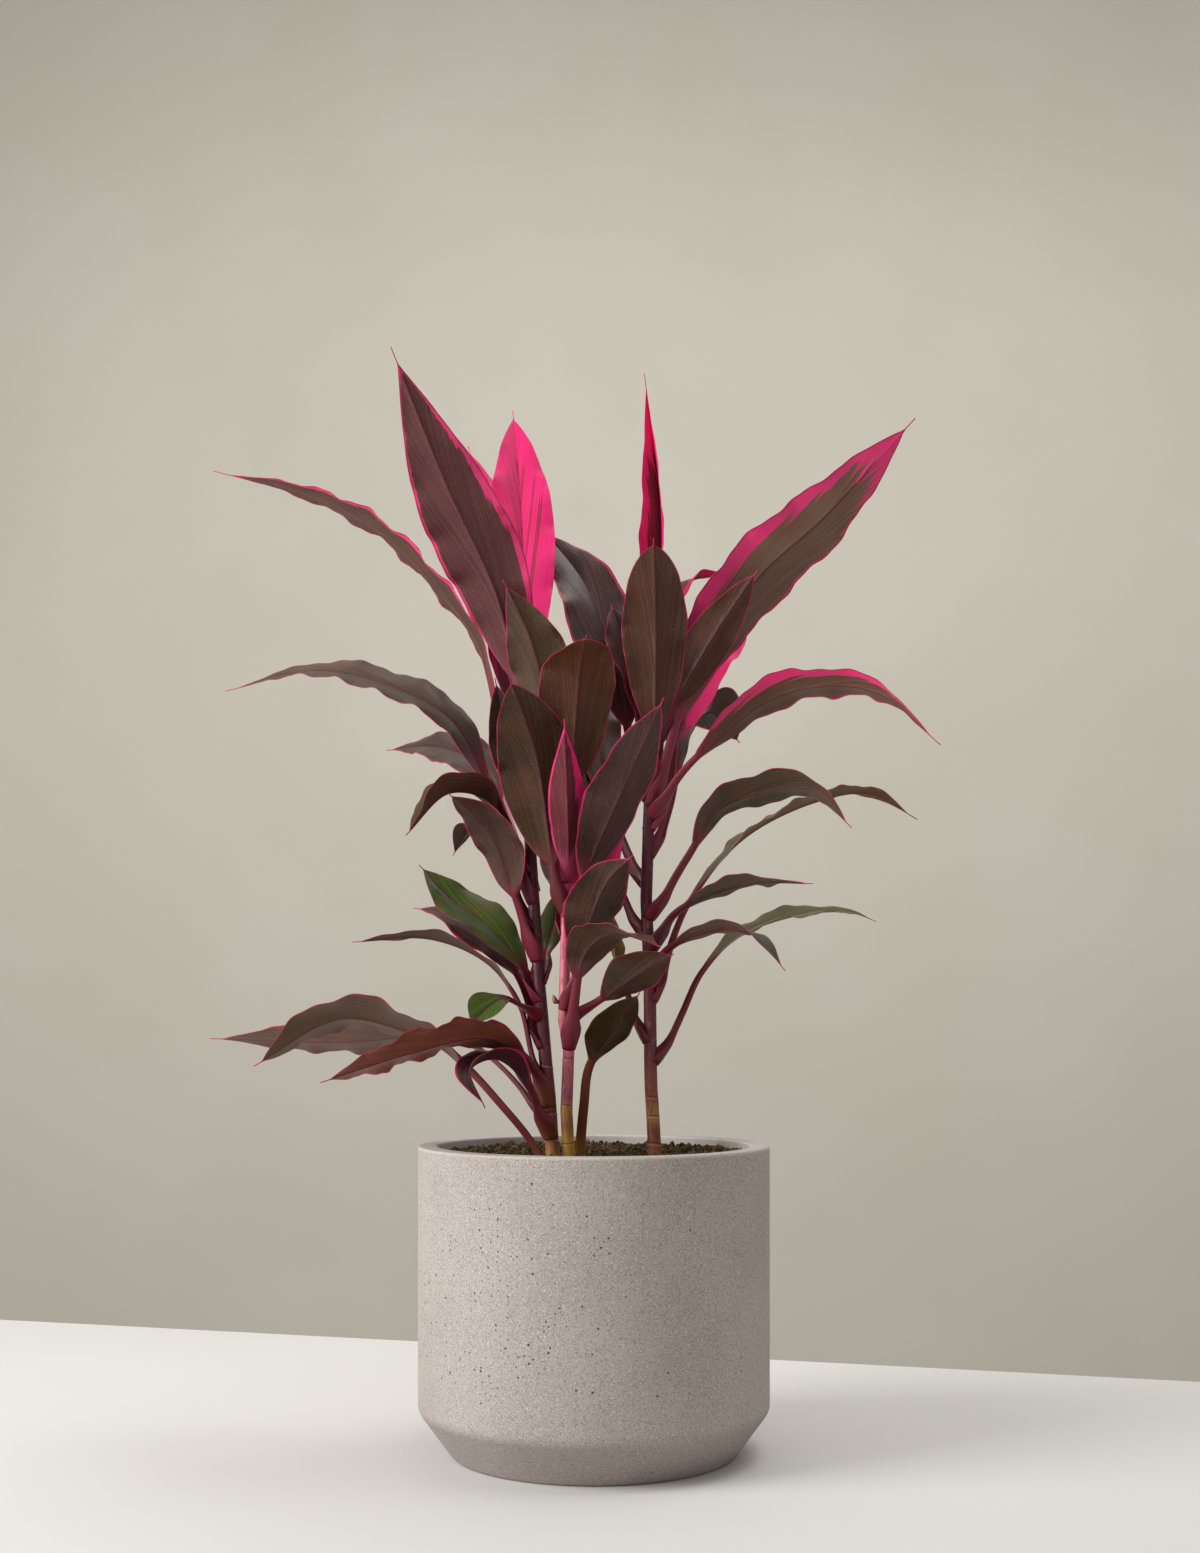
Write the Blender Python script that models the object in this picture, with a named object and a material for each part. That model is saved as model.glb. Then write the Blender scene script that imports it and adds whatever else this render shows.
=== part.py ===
"""Potted cordyline: a cast pot, potting soil, three canes and forty-eight leaves.

Metres, +Z up. The origin is the middle of the pot's underside, and the front of the plant faces -Y.
"""
import math

import bpy
import numpy as np

for old in list(bpy.data.objects):
    bpy.data.objects.remove(old, do_unlink=True)

MM = 0.001

# Pot
POT_DIAMETER = 254 * MM
POT_HEIGHT = 222 * MM
POT_WALL = 14 * MM
POT_FLOOR = 16 * MM
FOOT_DIAMETER = 206 * MM
FOOT_HEIGHT = 33 * MM
FOOT_SHOULDER_DROP = 3 * MM
RIM_EDGE = 1.5 * MM
CORNER_SHARE = 0.3
DRAIN_DIAMETER = 14 * MM
DRAIN_CIRCLE_RADIUS = 36 * MM
DRAIN_COUNT = 3
DRAIN_START = 22
POT_SIDES = 64

# Soil
SOIL_BELOW_RIM = 10 * MM
SOIL_BANK = 3.5 * MM
SOIL_FLAT_SHARE = 0.5
SOIL_SHOULDER_SHARE = 0.8
SOIL_SHOULDER_RISE_SHARE = 0.35
SOIL_CLEARANCE = 0.5 * MM
PLANTING_DEPTH = 32 * MM
SOCKET_CLEARANCE = 0.4 * MM
GROUND_STALK_CLEARANCE = 1.5 * MM

# Canes and leaves
CANE_SIDES = 10
CANE_STATIONS = 14
LEAF_GAP = 0.5 * MM
STALK_WIDTH = 5.0 * MM
STALK_BASE_WIDTH = 7.0 * MM
STALK_THICKNESS = 3.0 * MM
STALK_EDGE = 1.6 * MM
BLADE_EDGE = 0.8 * MM
BLADE_MIDRIB = 1.7 * MM
TIP_WIDTH = 1.0 * MM
STALK_STATIONS = 4
BLADE_STATIONS = 11
STALK_FADE = 1.3
SECTION_BLEND = 6
FOLD_BLEND = 4
MIDRIB_THINNING = 0.4
LEAST_FOOT_TAPER = 0.9
SPLINE_STEPS = 40
SPLINE_POWER = 0.5

SOIL_LEVEL = POT_HEIGHT - SOIL_BELOW_RIM


def material(name, red, green, blue, roughness):
    made = bpy.data.materials.new(name)
    made.use_nodes = True
    shader = made.node_tree.nodes["Principled BSDF"]
    shader.inputs["Base Color"].default_value = (red, green, blue, 1.0)
    shader.inputs["Roughness"].default_value = roughness
    return made


def add_mesh(name, points, faces, look):
    mesh = bpy.data.meshes.new(name)
    mesh.from_pydata([tuple(p) for p in points], [], [tuple(f) for f in faces])
    mesh.update()
    mesh.materials.append(look)
    made = bpy.data.objects.new(name, mesh)
    bpy.context.scene.collection.objects.link(made)
    return made


def skin(rings):
    """Points and faces of a closed solid through equal rings, each anticlockwise seen from the far end."""
    count = len(rings[0])
    points = np.concatenate(rings)
    faces = []
    for row in range(len(rings) - 1):
        start = row * count
        for k in range(count):
            after = (k + 1) % count
            faces.append((start + k, start + after, start + count + after, start + count + k))
    last = (len(rings) - 1) * count
    faces.append(tuple(range(count))[::-1])
    faces.append(tuple(range(last, last + count)))
    return points, faces


def turned(profile, sides):
    """Points and faces of the solid that a profile of (radius, height) makes about Z, from axis to axis."""
    points = [(0.0, 0.0, profile[0][1])]
    angles = np.arange(sides) * 2 * math.pi / sides
    for radius, height in profile[1:-1]:
        points += [(radius * math.cos(a), radius * math.sin(a), height) for a in angles]
    points.append((0.0, 0.0, profile[-1][1]))
    faces = []
    rows = len(profile) - 2
    end = len(points) - 1
    for k in range(sides):
        after = (k + 1) % sides
        faces.append((0, 1 + after, 1 + k))
        for row in range(rows - 1):
            low = 1 + row * sides
            faces.append((low + k, low + after, low + sides + after, low + sides + k))
        top = 1 + (rows - 1) * sides
        faces.append((top + k, top + after, end))
    return points, faces


def cut(target, cutter):
    cutter.hide_render = True
    cutter.hide_viewport = True
    made = target.modifiers.new("cut " + cutter.name, "BOOLEAN")
    made.operation = "DIFFERENCE"
    made.solver = "EXACT"
    made.object = cutter


def cylinder(name, radius, bottom, top, x, y, look, sides=24):
    profile = [(0, bottom), (radius, bottom), (radius, top), (0, top)]
    points, faces = turned(profile, sides)
    return add_mesh(name, [(px + x, py + y, pz) for px, py, pz in points], faces, look)


POT_LOOK = material("cast_concrete", 0.30, 0.27, 0.24, 0.8)
SOIL_LOOK = material("potting_soil", 0.03, 0.02, 0.015, 0.95)
CANE_LOOK = material("cane_bark", 0.16, 0.05, 0.04, 0.6)
LEAF_LOOK = material("leaf", 0.10, 0.03, 0.035, 0.4)

# ---- Pot ----
pot_radius = POT_DIAMETER / 2
foot_radius = FOOT_DIAMETER / 2
bore_radius = pot_radius - POT_WALL
slope = (pot_radius - foot_radius) / FOOT_HEIGHT
inner_foot_height = FOOT_HEIGHT + POT_WALL * (math.hypot(1, slope) - 1) / slope
inner_foot_radius = bore_radius - slope * (inner_foot_height - POT_FLOOR)
pot_profile = [
    (0, 0),
    (foot_radius, 0),
    (pot_radius - FOOT_SHOULDER_DROP * CORNER_SHARE, FOOT_HEIGHT - FOOT_SHOULDER_DROP * CORNER_SHARE / slope),
    (pot_radius, FOOT_HEIGHT + FOOT_SHOULDER_DROP),
    (pot_radius, POT_HEIGHT - RIM_EDGE),
    (pot_radius - RIM_EDGE * CORNER_SHARE, POT_HEIGHT - RIM_EDGE * CORNER_SHARE),
    (pot_radius - RIM_EDGE, POT_HEIGHT),
    (bore_radius + RIM_EDGE, POT_HEIGHT),
    (bore_radius + RIM_EDGE * CORNER_SHARE, POT_HEIGHT - RIM_EDGE * CORNER_SHARE),
    (bore_radius, POT_HEIGHT - RIM_EDGE),
    (bore_radius, inner_foot_height),
    (inner_foot_radius, POT_FLOOR),
    (0, POT_FLOOR),
]
pot = add_mesh("pot", *turned(pot_profile, POT_SIDES), POT_LOOK)
for k in range(DRAIN_COUNT):
    turn = math.radians(DRAIN_START + k * 360 / DRAIN_COUNT)
    hole = cylinder(
        f"drain_cutter_{k}",
        DRAIN_DIAMETER / 2,
        -POT_FLOOR,
        POT_FLOOR * 2,
        DRAIN_CIRCLE_RADIUS * math.cos(turn),
        DRAIN_CIRCLE_RADIUS * math.sin(turn),
        POT_LOOK,
    )
    cut(pot, hole)

# ---- Canes ----
# Each cane's course: (x, y, height) in mm from the soil's level, then its radius at foot and top.
CANES = {
    "cane_right": (
        ((45, 20, 0), (42, 21, 50), (41, 20, 125), (38.5, 18, 190), (40, 17, 245), (42, 16, 300)),
        5.0,
        4.0,
    ),
    "cane_centre": (
        ((-18, -4, 0), (-20, -4, 35), (-18, -5, 80), (-22, -6, 100), (-21, -6, 140), (-19, -6, 214)),
        4.6,
        3.4,
    ),
    "cane_left": (
        ((-30, 9, 0), (-33, 10, 45), (-36, 11, 80), (-40, 11, 125), (-44, 11, 190), (-51, 10, 290)),
        5.2,
        3.8,
    ),
    "ground_1": (((-10, 22, 0), (-10, 22, 1)), 0.0, 0.0),
    "ground_2": (((-38, -12, 0), (-38, -12, 1)), 0.0, 0.0),
}


def spline(points):
    """Fine points of a centripetal Catmull-Rom curve through points, and the length at each."""
    points = np.asarray(points, float)
    first = 2 * points[0] - points[1]
    last = 2 * points[-1] - points[-2]
    padded = np.vstack([first, points, last])
    chords = np.linalg.norm(np.diff(padded, axis=0), axis=1) ** SPLINE_POWER
    knots = np.concatenate([[0.0], np.cumsum(chords)])
    pieces = []
    for k in range(1, len(padded) - 2):
        t = np.linspace(knots[k], knots[k + 1], SPLINE_STEPS)[:, None]
        a, b, c, d = padded[k - 1 : k + 3]
        t0, t1, t2, t3 = knots[k - 1 : k + 3]
        ab = a + (b - a) * (t - t0) / (t1 - t0)
        bc = b + (c - b) * (t - t1) / (t2 - t1)
        cd = c + (d - c) * (t - t2) / (t3 - t2)
        abc = ab + (bc - ab) * (t - t0) / (t2 - t0)
        bcd = bc + (cd - bc) * (t - t1) / (t3 - t1)
        piece = abc + (bcd - abc) * (t - t1) / (t2 - t1)
        pieces.append(piece if k == 1 else piece[1:])
    fine = np.vstack(pieces)
    lengths = np.concatenate([[0.0], np.cumsum(np.linalg.norm(np.diff(fine, axis=0), axis=1))])
    return fine, lengths


def along(fine, lengths, at):
    return np.stack([np.interp(at, lengths, fine[:, axis]) for axis in range(3)], axis=-1)


def unit(vectors):
    return vectors / np.linalg.norm(vectors, axis=-1, keepdims=True)


def cane_centre(cane, height):
    points = np.asarray(CANES[cane][0], float)
    return np.array([np.interp(height, points[:, 2], points[:, axis]) for axis in (0, 1)])


def cane_radius(cane, height):
    points, foot, top = CANES[cane]
    return np.interp(height, [points[0][2], points[-1][2]], [foot, top])


def cane_rings(cane, grow=0.0, below=0.0):
    """Rings of ten points up a cane, from below the soil to its top."""
    points = CANES[cane][0]
    depth = PLANTING_DEPTH / MM
    heights = np.concatenate([[-depth - below], np.linspace(0, points[-1][2], CANE_STATIONS)])
    angles = np.arange(CANE_SIDES) * 2 * math.pi / CANE_SIDES
    rings = []
    for height in heights:
        x, y = cane_centre(cane, max(height, 0.0))
        radius = cane_radius(cane, max(height, 0.0)) + grow
        ring = [(x + radius * math.cos(a), y + radius * math.sin(a), height) for a in angles]
        rings.append(np.array(ring) * MM + (0, 0, SOIL_LEVEL))
    return rings


for cane in ("cane_right", "cane_centre", "cane_left"):
    add_mesh(cane, *skin(cane_rings(cane)), CANE_LOOK)

# ---- Leaves ----
# On each cane, from the top down: height of the foot, heading, course of (reach, height), stalk length,
# width, sway of the tip to its left, roll of the blade at foot and tip, fold, where along the blade it is
# widest, and how drawn out its tip is (under 1 is blunt). Millimetres and degrees. Heights are from the
# soil's level, reach is from the cane, and a heading of 0 is +X and 90 is +Y.
LEAVES = {
    "cane_right": [
        (292, 60, ((8, 335), (13, 400), (15, 480), (-10, 572)), 60, 34, 0, (0, 0), 58, 0.45, 1.15),
        (
            264,
            80,
            ((16, 300), (20, 360), (24, 402), (38, 430), (56, 440)),
            130, 22, -52, (-20, -40), 10, 0.55, 1.15,
        ),
        (268, -80, ((15, 295), (31, 330), (51, 384), (72, 435)), 42, 46, -12, (0, 0), 10, 0.5, 0.6),
        (284, 150, ((9, 312), (17, 361), (33, 409)), 45, 44, 0, (-5, -20), 10, 0.5, 0.8),
        (296, -42, ((17, 321), (53, 368), (98, 415)), 36, 31, 0, (-38, -38), 10, 0.5, 0.9),
        (
            256,
            -22,
            ((17, 302), (38, 362), (86, 420), (132, 456), (197, 518)),
            64, 54, 0, (-45, -35), 8, 0.5, 0.85,
        ),
        (238, 38, ((20, 275), (28, 315), (50, 368), (98, 420)), 72, 56, 0, (20, 40), 12, 0.5, 0.8),
        (
            246,
            -40,
            ((28, 276), (63, 301), (106, 323), (151, 328), (197, 317), (242, 279)),
            60, 40, 0, (0, -40), 8, 0.4, 1.15,
        ),
        (218, 50, ((28, 262), (44, 306), (76, 336), (116, 318)), 75, 50, 0, (-25, -25), 14, 0.45, 0.8),
        (
            172,
            -34,
            ((22, 200), (40, 225), (57, 249), (96, 261), (135, 260), (166, 232)),
            66, 36, 0, (-10, -40), 10, 0.45, 0.9,
        ),
        (
            112,
            34,
            ((21, 160), (38, 191), (87, 239), (163, 273), (219, 282), (269, 265)),
            90, 36, 0, (-15, -15), 10, 0.45, 1.15,
        ),
        (148, -48, ((24, 174), (54, 187), (106, 195), (160, 192)), 50, 32, 0, (-5, -10), 8, 0.5, 1.15),
        (124, -58, ((18, 148), (58, 162), (100, 160), (124, 134)), 45, 28, 30, (-10, -20), 8, 0.5, 1.15),
        (
            66,
            26,
            ((27, 106), (43, 136), (73, 163), (132, 182), (178, 184), (200, 178)),
            85, 34, 0, (-5, 25), 10, 0.5, 1.15,
        ),
        (260, 145, ((18, 310), (33, 368), (58, 428), (98, 476)), 60, 52, 0, (-30, -45), 8, 0.5, 0.9),
        (196, 115, ((50, 247), (85, 313), (122, 395)), 75, 44, 0, (15, 5), 10, 0.5, 0.8),
        (158, 135, ((29, 199), (54, 251), (82, 311)), 60, 42, 0, (15, 5), 10, 0.5, 0.8),
        (82, 160, ((18, 120), (33, 162), (45, 204)), 55, 26, 0, (0, 0), 30, 0.5, 1.15),
    ],
    "cane_centre": [
        (198, -84, ((20, 218), (48, 256), (69, 306)), 16, 30, -8, (0, 0), 36, 0.45, 1.15),
        (209, -76, ((12, 240), (23, 291), (44, 338), (83, 361)), 60, 54, -6, (0, 5), 10, 0.45, 0.65),
        (175, -121, ((21, 222), (39, 285), (74, 336)), 38, 55, 0, (30, 50), 10, 0.5, 0.8),
        (188, 176, ((12, 216), (26, 260), (44, 306), (52, 348)), 36, 38, 0, (-60, -60), 16, 0.5, 0.9),
        (172, -52, ((24, 206), (65, 260), (110, 318)), 34, 44, 0, (-10, -10), 12, 0.5, 0.9),
        (106, -52, ((13, 124), (26, 160), (50, 196), (80, 214)), 36, 40, 0, (-10, -30), 14, 0.5, 1.15),
        (78, -76, ((14, 112), (32, 146), (64, 160), (102, 150)), 55, 38, 40, (0, -20), 10, 0.45, 0.8),
        (92, -20, ((12, 104), (32, 118), (60, 136), (82, 147)), 34, 38, 0, (-30, -45), 10, 0.5, 0.9),
        (160, 96, ((11, 186), (34, 213), (70, 245)), 26, 24, 10, (0, -15), 14, 0.5, 1.15),
        (150, 20, ((12, 184), (28, 212), (46, 244)), 26, 32, 0, (30, 40), 14, 0.5, 1.15),
        (202, -150, ((8, 250), (16, 320), (29, 370), (52, 412)), 95, 44, 0, (30, 50), 10, 0.5, 1.15),
    ],
    "cane_left": [
        (
            256,
            162,
            ((19, 303), (38, 375), (68, 415), (119, 466), (183, 501), (259, 526)),
            74, 40, 0, (30, 15), 10, 0.45, 1.15,
        ),
        (276, -122, ((10, 336), (34, 400), (98, 470), (157, 543)), 72, 56, 0, (20, 34), 8, 0.45, 1.15),
        (284, 92, ((9, 350), (25, 413), (55, 498), (90, 576)), 70, 48, 10, (0, 0), 14, 0.5, 0.85),
        (246, 112, ((33, 352), (60, 421), (99, 498), (143, 562)), 80, 50, 0, (10, -5), 10, 0.5, 0.9),
        (
            206,
            158,
            ((23, 242), (43, 287), (66, 324), (121, 354), (183, 369), (264, 359)),
            78, 38, 0, (-25, -35), 8, 0.45, 1.15,
        ),
        (192, 130, ((30, 247), (55, 286), (115, 313), (194, 320)), 80, 34, 0, (-35, -45), 8, 0.45, 1.15),
        (184, -148, ((18, 232), (36, 258), (70, 262), (104, 230)), 72, 40, 0, (10, 10), 30, 0.5, 1.15),
        (164, 150, ((20, 200), (36, 226), (56, 244), (74, 224)), 56, 34, 0, (0, 0), 14, 0.5, 1.15),
        (142, -140, ((14, 172), (26, 200), (45, 236), (80, 260)), 50, 38, 0, (10, 20), 10, 0.5, 0.9),
        (112, 158, ((13, 136), (37, 165), (71, 189), (100, 217)), 26, 40, 0, (-20, -40), 10, 0.5, 1.0),
        (
            78,
            150,
            ((15, 116), (27, 138), (50, 160), (84, 180), (118, 186)),
            60, 36, 0, (-35, -25), 10, 0.5, 1.15,
        ),
        (
            50,
            176,
            ((13, 80), (21, 112), (44, 142), (86, 160), (145, 158)),
            70, 34, 0, (0, 15), 10, 0.5, 1.15,
        ),
        (98, -145, ((18, 110), (32, 116), (46, 110), (62, 96)), 30, 28, 0, (-20, -40), 14, 0.5, 1.15),
        (
            24,
            160,
            ((25, 52), (59, 80), (98, 88), (172, 84), (287, 86)),
            70, 44, 0, (20, 45), 10, 0.45, 1.15,
        ),
        (
            36,
            -132,
            ((12, 58), (34, 78), (66, 88), (136, 78), (214, 60)),
            48, 44, 0, (25, 50), 10, 0.5, 1.0,
        ),
        (12, -134, ((22, 50), (54, 73), (80, 65), (66, 38)), 40, 26, 0, (0, 10), 34, 0.5, 1.15),
        (126, 70, ((10, 146), (20, 166), (36, 200)), 24, 22, -6, (0, 0), 10, 0.5, 0.8),
    ],
    "ground_1": [
        (0, -40, ((4, 38), (9, 66), (32, 94), (56, 120)), 72, 38, 0, (-10, -20), 12, 0.5, 1.15),
    ],
    "ground_2": [
        (
            0,
            -171,
            ((32, 44), (64, 76), (98, 93), (144, 101), (203, 68)),
            85, 54, 0, (5, 40), 10, 0.45, 0.9,
        ),
    ],
}


def heading_vectors(heading):
    turn = math.radians(heading)
    out = np.array([math.cos(turn), math.sin(turn), 0.0])
    left = np.array([-math.sin(turn), math.cos(turn), 0.0])
    return out, left


def leaf_course(cane, row):
    """Points in mm above the soil for the leaf's middle line, from its foot on the cane to its tip."""
    foot, heading, course, sway = row[0], row[1], row[2], row[5]
    out, left = heading_vectors(heading)
    start = cane_centre(cane, foot)
    radius = float(cane_radius(cane, foot))
    centre = np.array([start[0], start[1], 0.0])
    if radius > 0:
        first_reach = radius + (LEAF_GAP + STALK_THICKNESS / 2) / MM
        points = [centre + out * first_reach + (0, 0, foot)]
    else:
        points = [centre + (0, 0, foot - PLANTING_DEPTH / MM), centre + (0, 0, foot)]
    far = course[-1][0]
    for reach, height in course:
        points.append(centre + out * reach + left * sway * (reach / far) ** 2 + (0, 0, height))
    return points, left


def blade_half_width(share, width, widest, tip):
    """A lance shape: nought at the blade's foot, half the width at its widest, then in to the tip."""
    rise = max(tip * widest / (1 - widest), LEAST_FOOT_TAPER)
    widest = rise / (rise + tip)
    share = np.clip(share, 0.0, 1.0)
    top = widest**rise * (1 - widest) ** tip
    return width / 2 * share**rise * (1 - share) ** tip / top


def leaf_rings(cane, row):
    """Six points round each station: left edge, midrib and right edge, over and under."""
    width, roll, fold, widest, tip = row[4], row[6], row[7], row[8], row[9]
    points, left = leaf_course(cane, row)
    fine, lengths = spline(points)
    total = lengths[-1]
    stalk = row[3] + (PLANTING_DEPTH / MM if cane.startswith("ground") else 0)
    on_stalk = np.linspace(0, stalk, STALK_STATIONS + 1)
    on_blade = np.linspace(stalk, total, BLADE_STATIONS + 1)[1:]
    at = np.concatenate([on_stalk, on_blade])
    centre = along(fine, lengths, at)
    ahead = along(fine, lengths, np.minimum(at + 1.0, total))
    behind = along(fine, lengths, np.maximum(at - 1.0, 0.0))
    tangent = unit(ahead - behind)
    side = unit(left - tangent * (tangent @ left)[:, None])
    over = np.cross(tangent, side)
    share = (at - stalk) / (total - stalk)
    passed = np.clip(share, 0.0, 1.0)
    roll_at = roll[0] * np.clip(at / stalk, 0, 1) * (1 - passed) + roll[1] * passed
    turn = np.radians(roll_at)[:, None]
    across = side * np.cos(turn) + over * np.sin(turn)
    up = over * np.cos(turn) - side * np.sin(turn)
    stalk_half = np.interp(at, [0, stalk], [STALK_BASE_WIDTH / MM / 2, STALK_WIDTH / MM / 2])
    half = stalk_half * np.clip(1 - STALK_FADE * passed, 0, 1) + blade_half_width(share, width, widest, tip)
    half = np.maximum(half, TIP_WIDTH / MM / 2)
    blade = np.clip(share * SECTION_BLEND, 0.0, 1.0)
    middle = STALK_THICKNESS / MM * (1 - blade) + BLADE_MIDRIB / MM * blade * (1 - MIDRIB_THINNING * passed)
    edge = STALK_EDGE / MM * (1 - blade) + BLADE_EDGE / MM * blade
    bend = math.radians(fold) * np.clip(share * FOLD_BLEND, 0.0, 1.0)
    reach = half * np.cos(bend)
    lift = half * np.sin(bend)
    rings = []
    for k in range(len(at)):
        ring = []
        for lateral, level in (
            (reach[k], lift[k] + edge[k] / 2),
            (0.0, middle[k] / 2),
            (-reach[k], lift[k] + edge[k] / 2),
            (-reach[k], lift[k] - edge[k] / 2),
            (0.0, -middle[k] / 2),
            (reach[k], lift[k] - edge[k] / 2),
        ):
            ring.append(centre[k] + across[k] * lateral + up[k] * level)
        rings.append(np.array(ring) * MM + (0, 0, SOIL_LEVEL))
    return rings


for cane, rows in LEAVES.items():
    for number, row in enumerate(rows, 1):
        on_cane = cane.startswith("cane")
        name = f"{cane.replace('cane', 'leaf')}_{number:02d}" if on_cane else f"leaf_{cane}"
        add_mesh(name, *skin(leaf_rings(cane, row)), LEAF_LOOK)

# ---- Soil ----
soil_radius = bore_radius - SOIL_CLEARANCE
soil_foot_radius = inner_foot_radius - SOIL_CLEARANCE
soil_profile = [
    (0, POT_FLOOR + SOIL_CLEARANCE),
    (soil_foot_radius, POT_FLOOR + SOIL_CLEARANCE),
    (soil_radius, inner_foot_height),
    (soil_radius, SOIL_LEVEL + SOIL_BANK),
    (soil_radius * SOIL_SHOULDER_SHARE, SOIL_LEVEL + SOIL_BANK * SOIL_SHOULDER_RISE_SHARE),
    (soil_radius * SOIL_FLAT_SHARE, SOIL_LEVEL),
    (0, SOIL_LEVEL),
]
soil = add_mesh("soil", *turned(soil_profile, POT_SIDES), SOIL_LOOK)
for cane in ("cane_right", "cane_centre", "cane_left"):
    clearance = SOCKET_CLEARANCE / MM
    socket = add_mesh("socket_" + cane, *skin(cane_rings(cane, clearance, clearance)), SOIL_LOOK)
    cut(soil, socket)
for cane in ("ground_1", "ground_2"):
    x, y = CANES[cane][0][0][:2]
    socket = cylinder(
        "socket_" + cane,
        STALK_BASE_WIDTH / 2 + GROUND_STALK_CLEARANCE,
        SOIL_LEVEL - PLANTING_DEPTH - SOCKET_CLEARANCE,
        POT_HEIGHT,
        x * MM,
        y * MM,
        SOIL_LOOK,
        12,
    )
    cut(soil, socket)
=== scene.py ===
"""The potted cordyline as it looks: a cast concrete pot, peat soil, three canes, forty-eight leaves and a side bud.

Metres, +Z up. The origin is the middle of the pot's underside, and the front of the plant faces -Y.
"""

import math

import bpy
import numpy as np
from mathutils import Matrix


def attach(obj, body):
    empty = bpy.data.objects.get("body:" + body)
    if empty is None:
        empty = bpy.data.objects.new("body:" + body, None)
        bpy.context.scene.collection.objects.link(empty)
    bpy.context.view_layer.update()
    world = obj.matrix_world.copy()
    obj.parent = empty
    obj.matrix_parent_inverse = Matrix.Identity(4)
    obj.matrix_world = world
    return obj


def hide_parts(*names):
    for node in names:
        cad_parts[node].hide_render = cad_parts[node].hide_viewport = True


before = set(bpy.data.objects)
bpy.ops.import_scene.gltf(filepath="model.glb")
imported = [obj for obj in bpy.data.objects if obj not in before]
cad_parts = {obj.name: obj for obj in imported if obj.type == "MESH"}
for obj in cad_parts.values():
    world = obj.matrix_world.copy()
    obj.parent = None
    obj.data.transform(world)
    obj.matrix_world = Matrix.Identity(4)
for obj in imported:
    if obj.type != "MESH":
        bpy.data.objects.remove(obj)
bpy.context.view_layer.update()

MM = 0.001

# Pot and soil, as in the part
POT_RADIUS = 127.0
POT_HEIGHT = 222.0
POT_WALL = 14.0
POT_FLOOR = 16.0
FOOT_RADIUS = 103.0
FOOT_HEIGHT = 33.0
DRAIN_RADIUS = 7.0
DRAIN_CIRCLE_RADIUS = 36.0
DRAIN_TURNS = (22, 142, 262)
SOIL_LEVEL = 212.0
SOIL_EDGE_LEVEL = 215.5
PLANTING_DEPTH = 32.0

# Leaves, as in the part
LEAF_GAP = 0.5
STALK_WIDTH = 5.4
STALK_BASE_WIDTH = 8.4
STALK_THICKNESS = 3.0
TIP_WIDTH = 0.7


# ---- Colour and nodes ----
def linear(colour):
    """The linear RGBA of an sRGB hex colour."""
    parts = [int(colour[k : k + 2], 16) / 255 for k in (0, 2, 4)]
    return tuple(c / 12.92 if c <= 0.04045 else ((c + 0.055) / 1.055) ** 2.4 for c in parts) + (1.0,)


def add(tree, kind, inputs=(), out=0, **settings):
    """Adds a node with its settings and links. The inputs go by name or number, or in the node's own order. It gives
    back the output asked for, or all of them for out=None."""
    made = tree.nodes.new(kind)
    for name, value in settings.items():
        setattr(made, name, value)
    for key, value in inputs.items() if isinstance(inputs, dict) else enumerate(inputs):
        if isinstance(value, bpy.types.NodeSocket):
            tree.links.new(value, made.inputs[key])
        else:
            made.inputs[key].default_value = value
    return made.outputs if out is None else made.outputs[out]


def start_material(name):
    """A new, empty material and its node tree."""
    made = bpy.data.materials.new(name)
    made.use_nodes = True
    made.node_tree.nodes.clear()
    return made, made.node_tree


# Node kinds by what they do here. NOISE's blobs are about 1 / Scale across. RANGE takes a value, the span it is in
# and the span it moves to. MIX_RGB's sockets are 0 the share, 6 the colour under, 7 the colour over, 2 its result.
POINT, ATTRIBUTE, PARTS = "ShaderNodeTexCoord", "ShaderNodeAttribute", "ShaderNodeSeparateXYZ"
STRETCH, NOISE, CELLS = "ShaderNodeMapping", "ShaderNodeTexNoise", "ShaderNodeTexVoronoi"
RANGE, MATHS, MIX_RGB = "ShaderNodeMapRange", "ShaderNodeMath", "ShaderNodeMix"
VECTORS, BUMP = "ShaderNodeVectorMath", "ShaderNodeBump"
SHADER, OUTPUT = "ShaderNodeBsdfPrincipled", "ShaderNodeOutputMaterial"
SOFT = {"interpolation_type": "SMOOTHSTEP"}
RGBA = {"out": 2, "data_type": "RGBA"}
TIMES, PLUS, LESS = {"operation": "MULTIPLY"}, {"operation": "ADD"}, {"operation": "SUBTRACT"}
TIMES_PLUS = {"operation": "MULTIPLY_ADD"}


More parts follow.
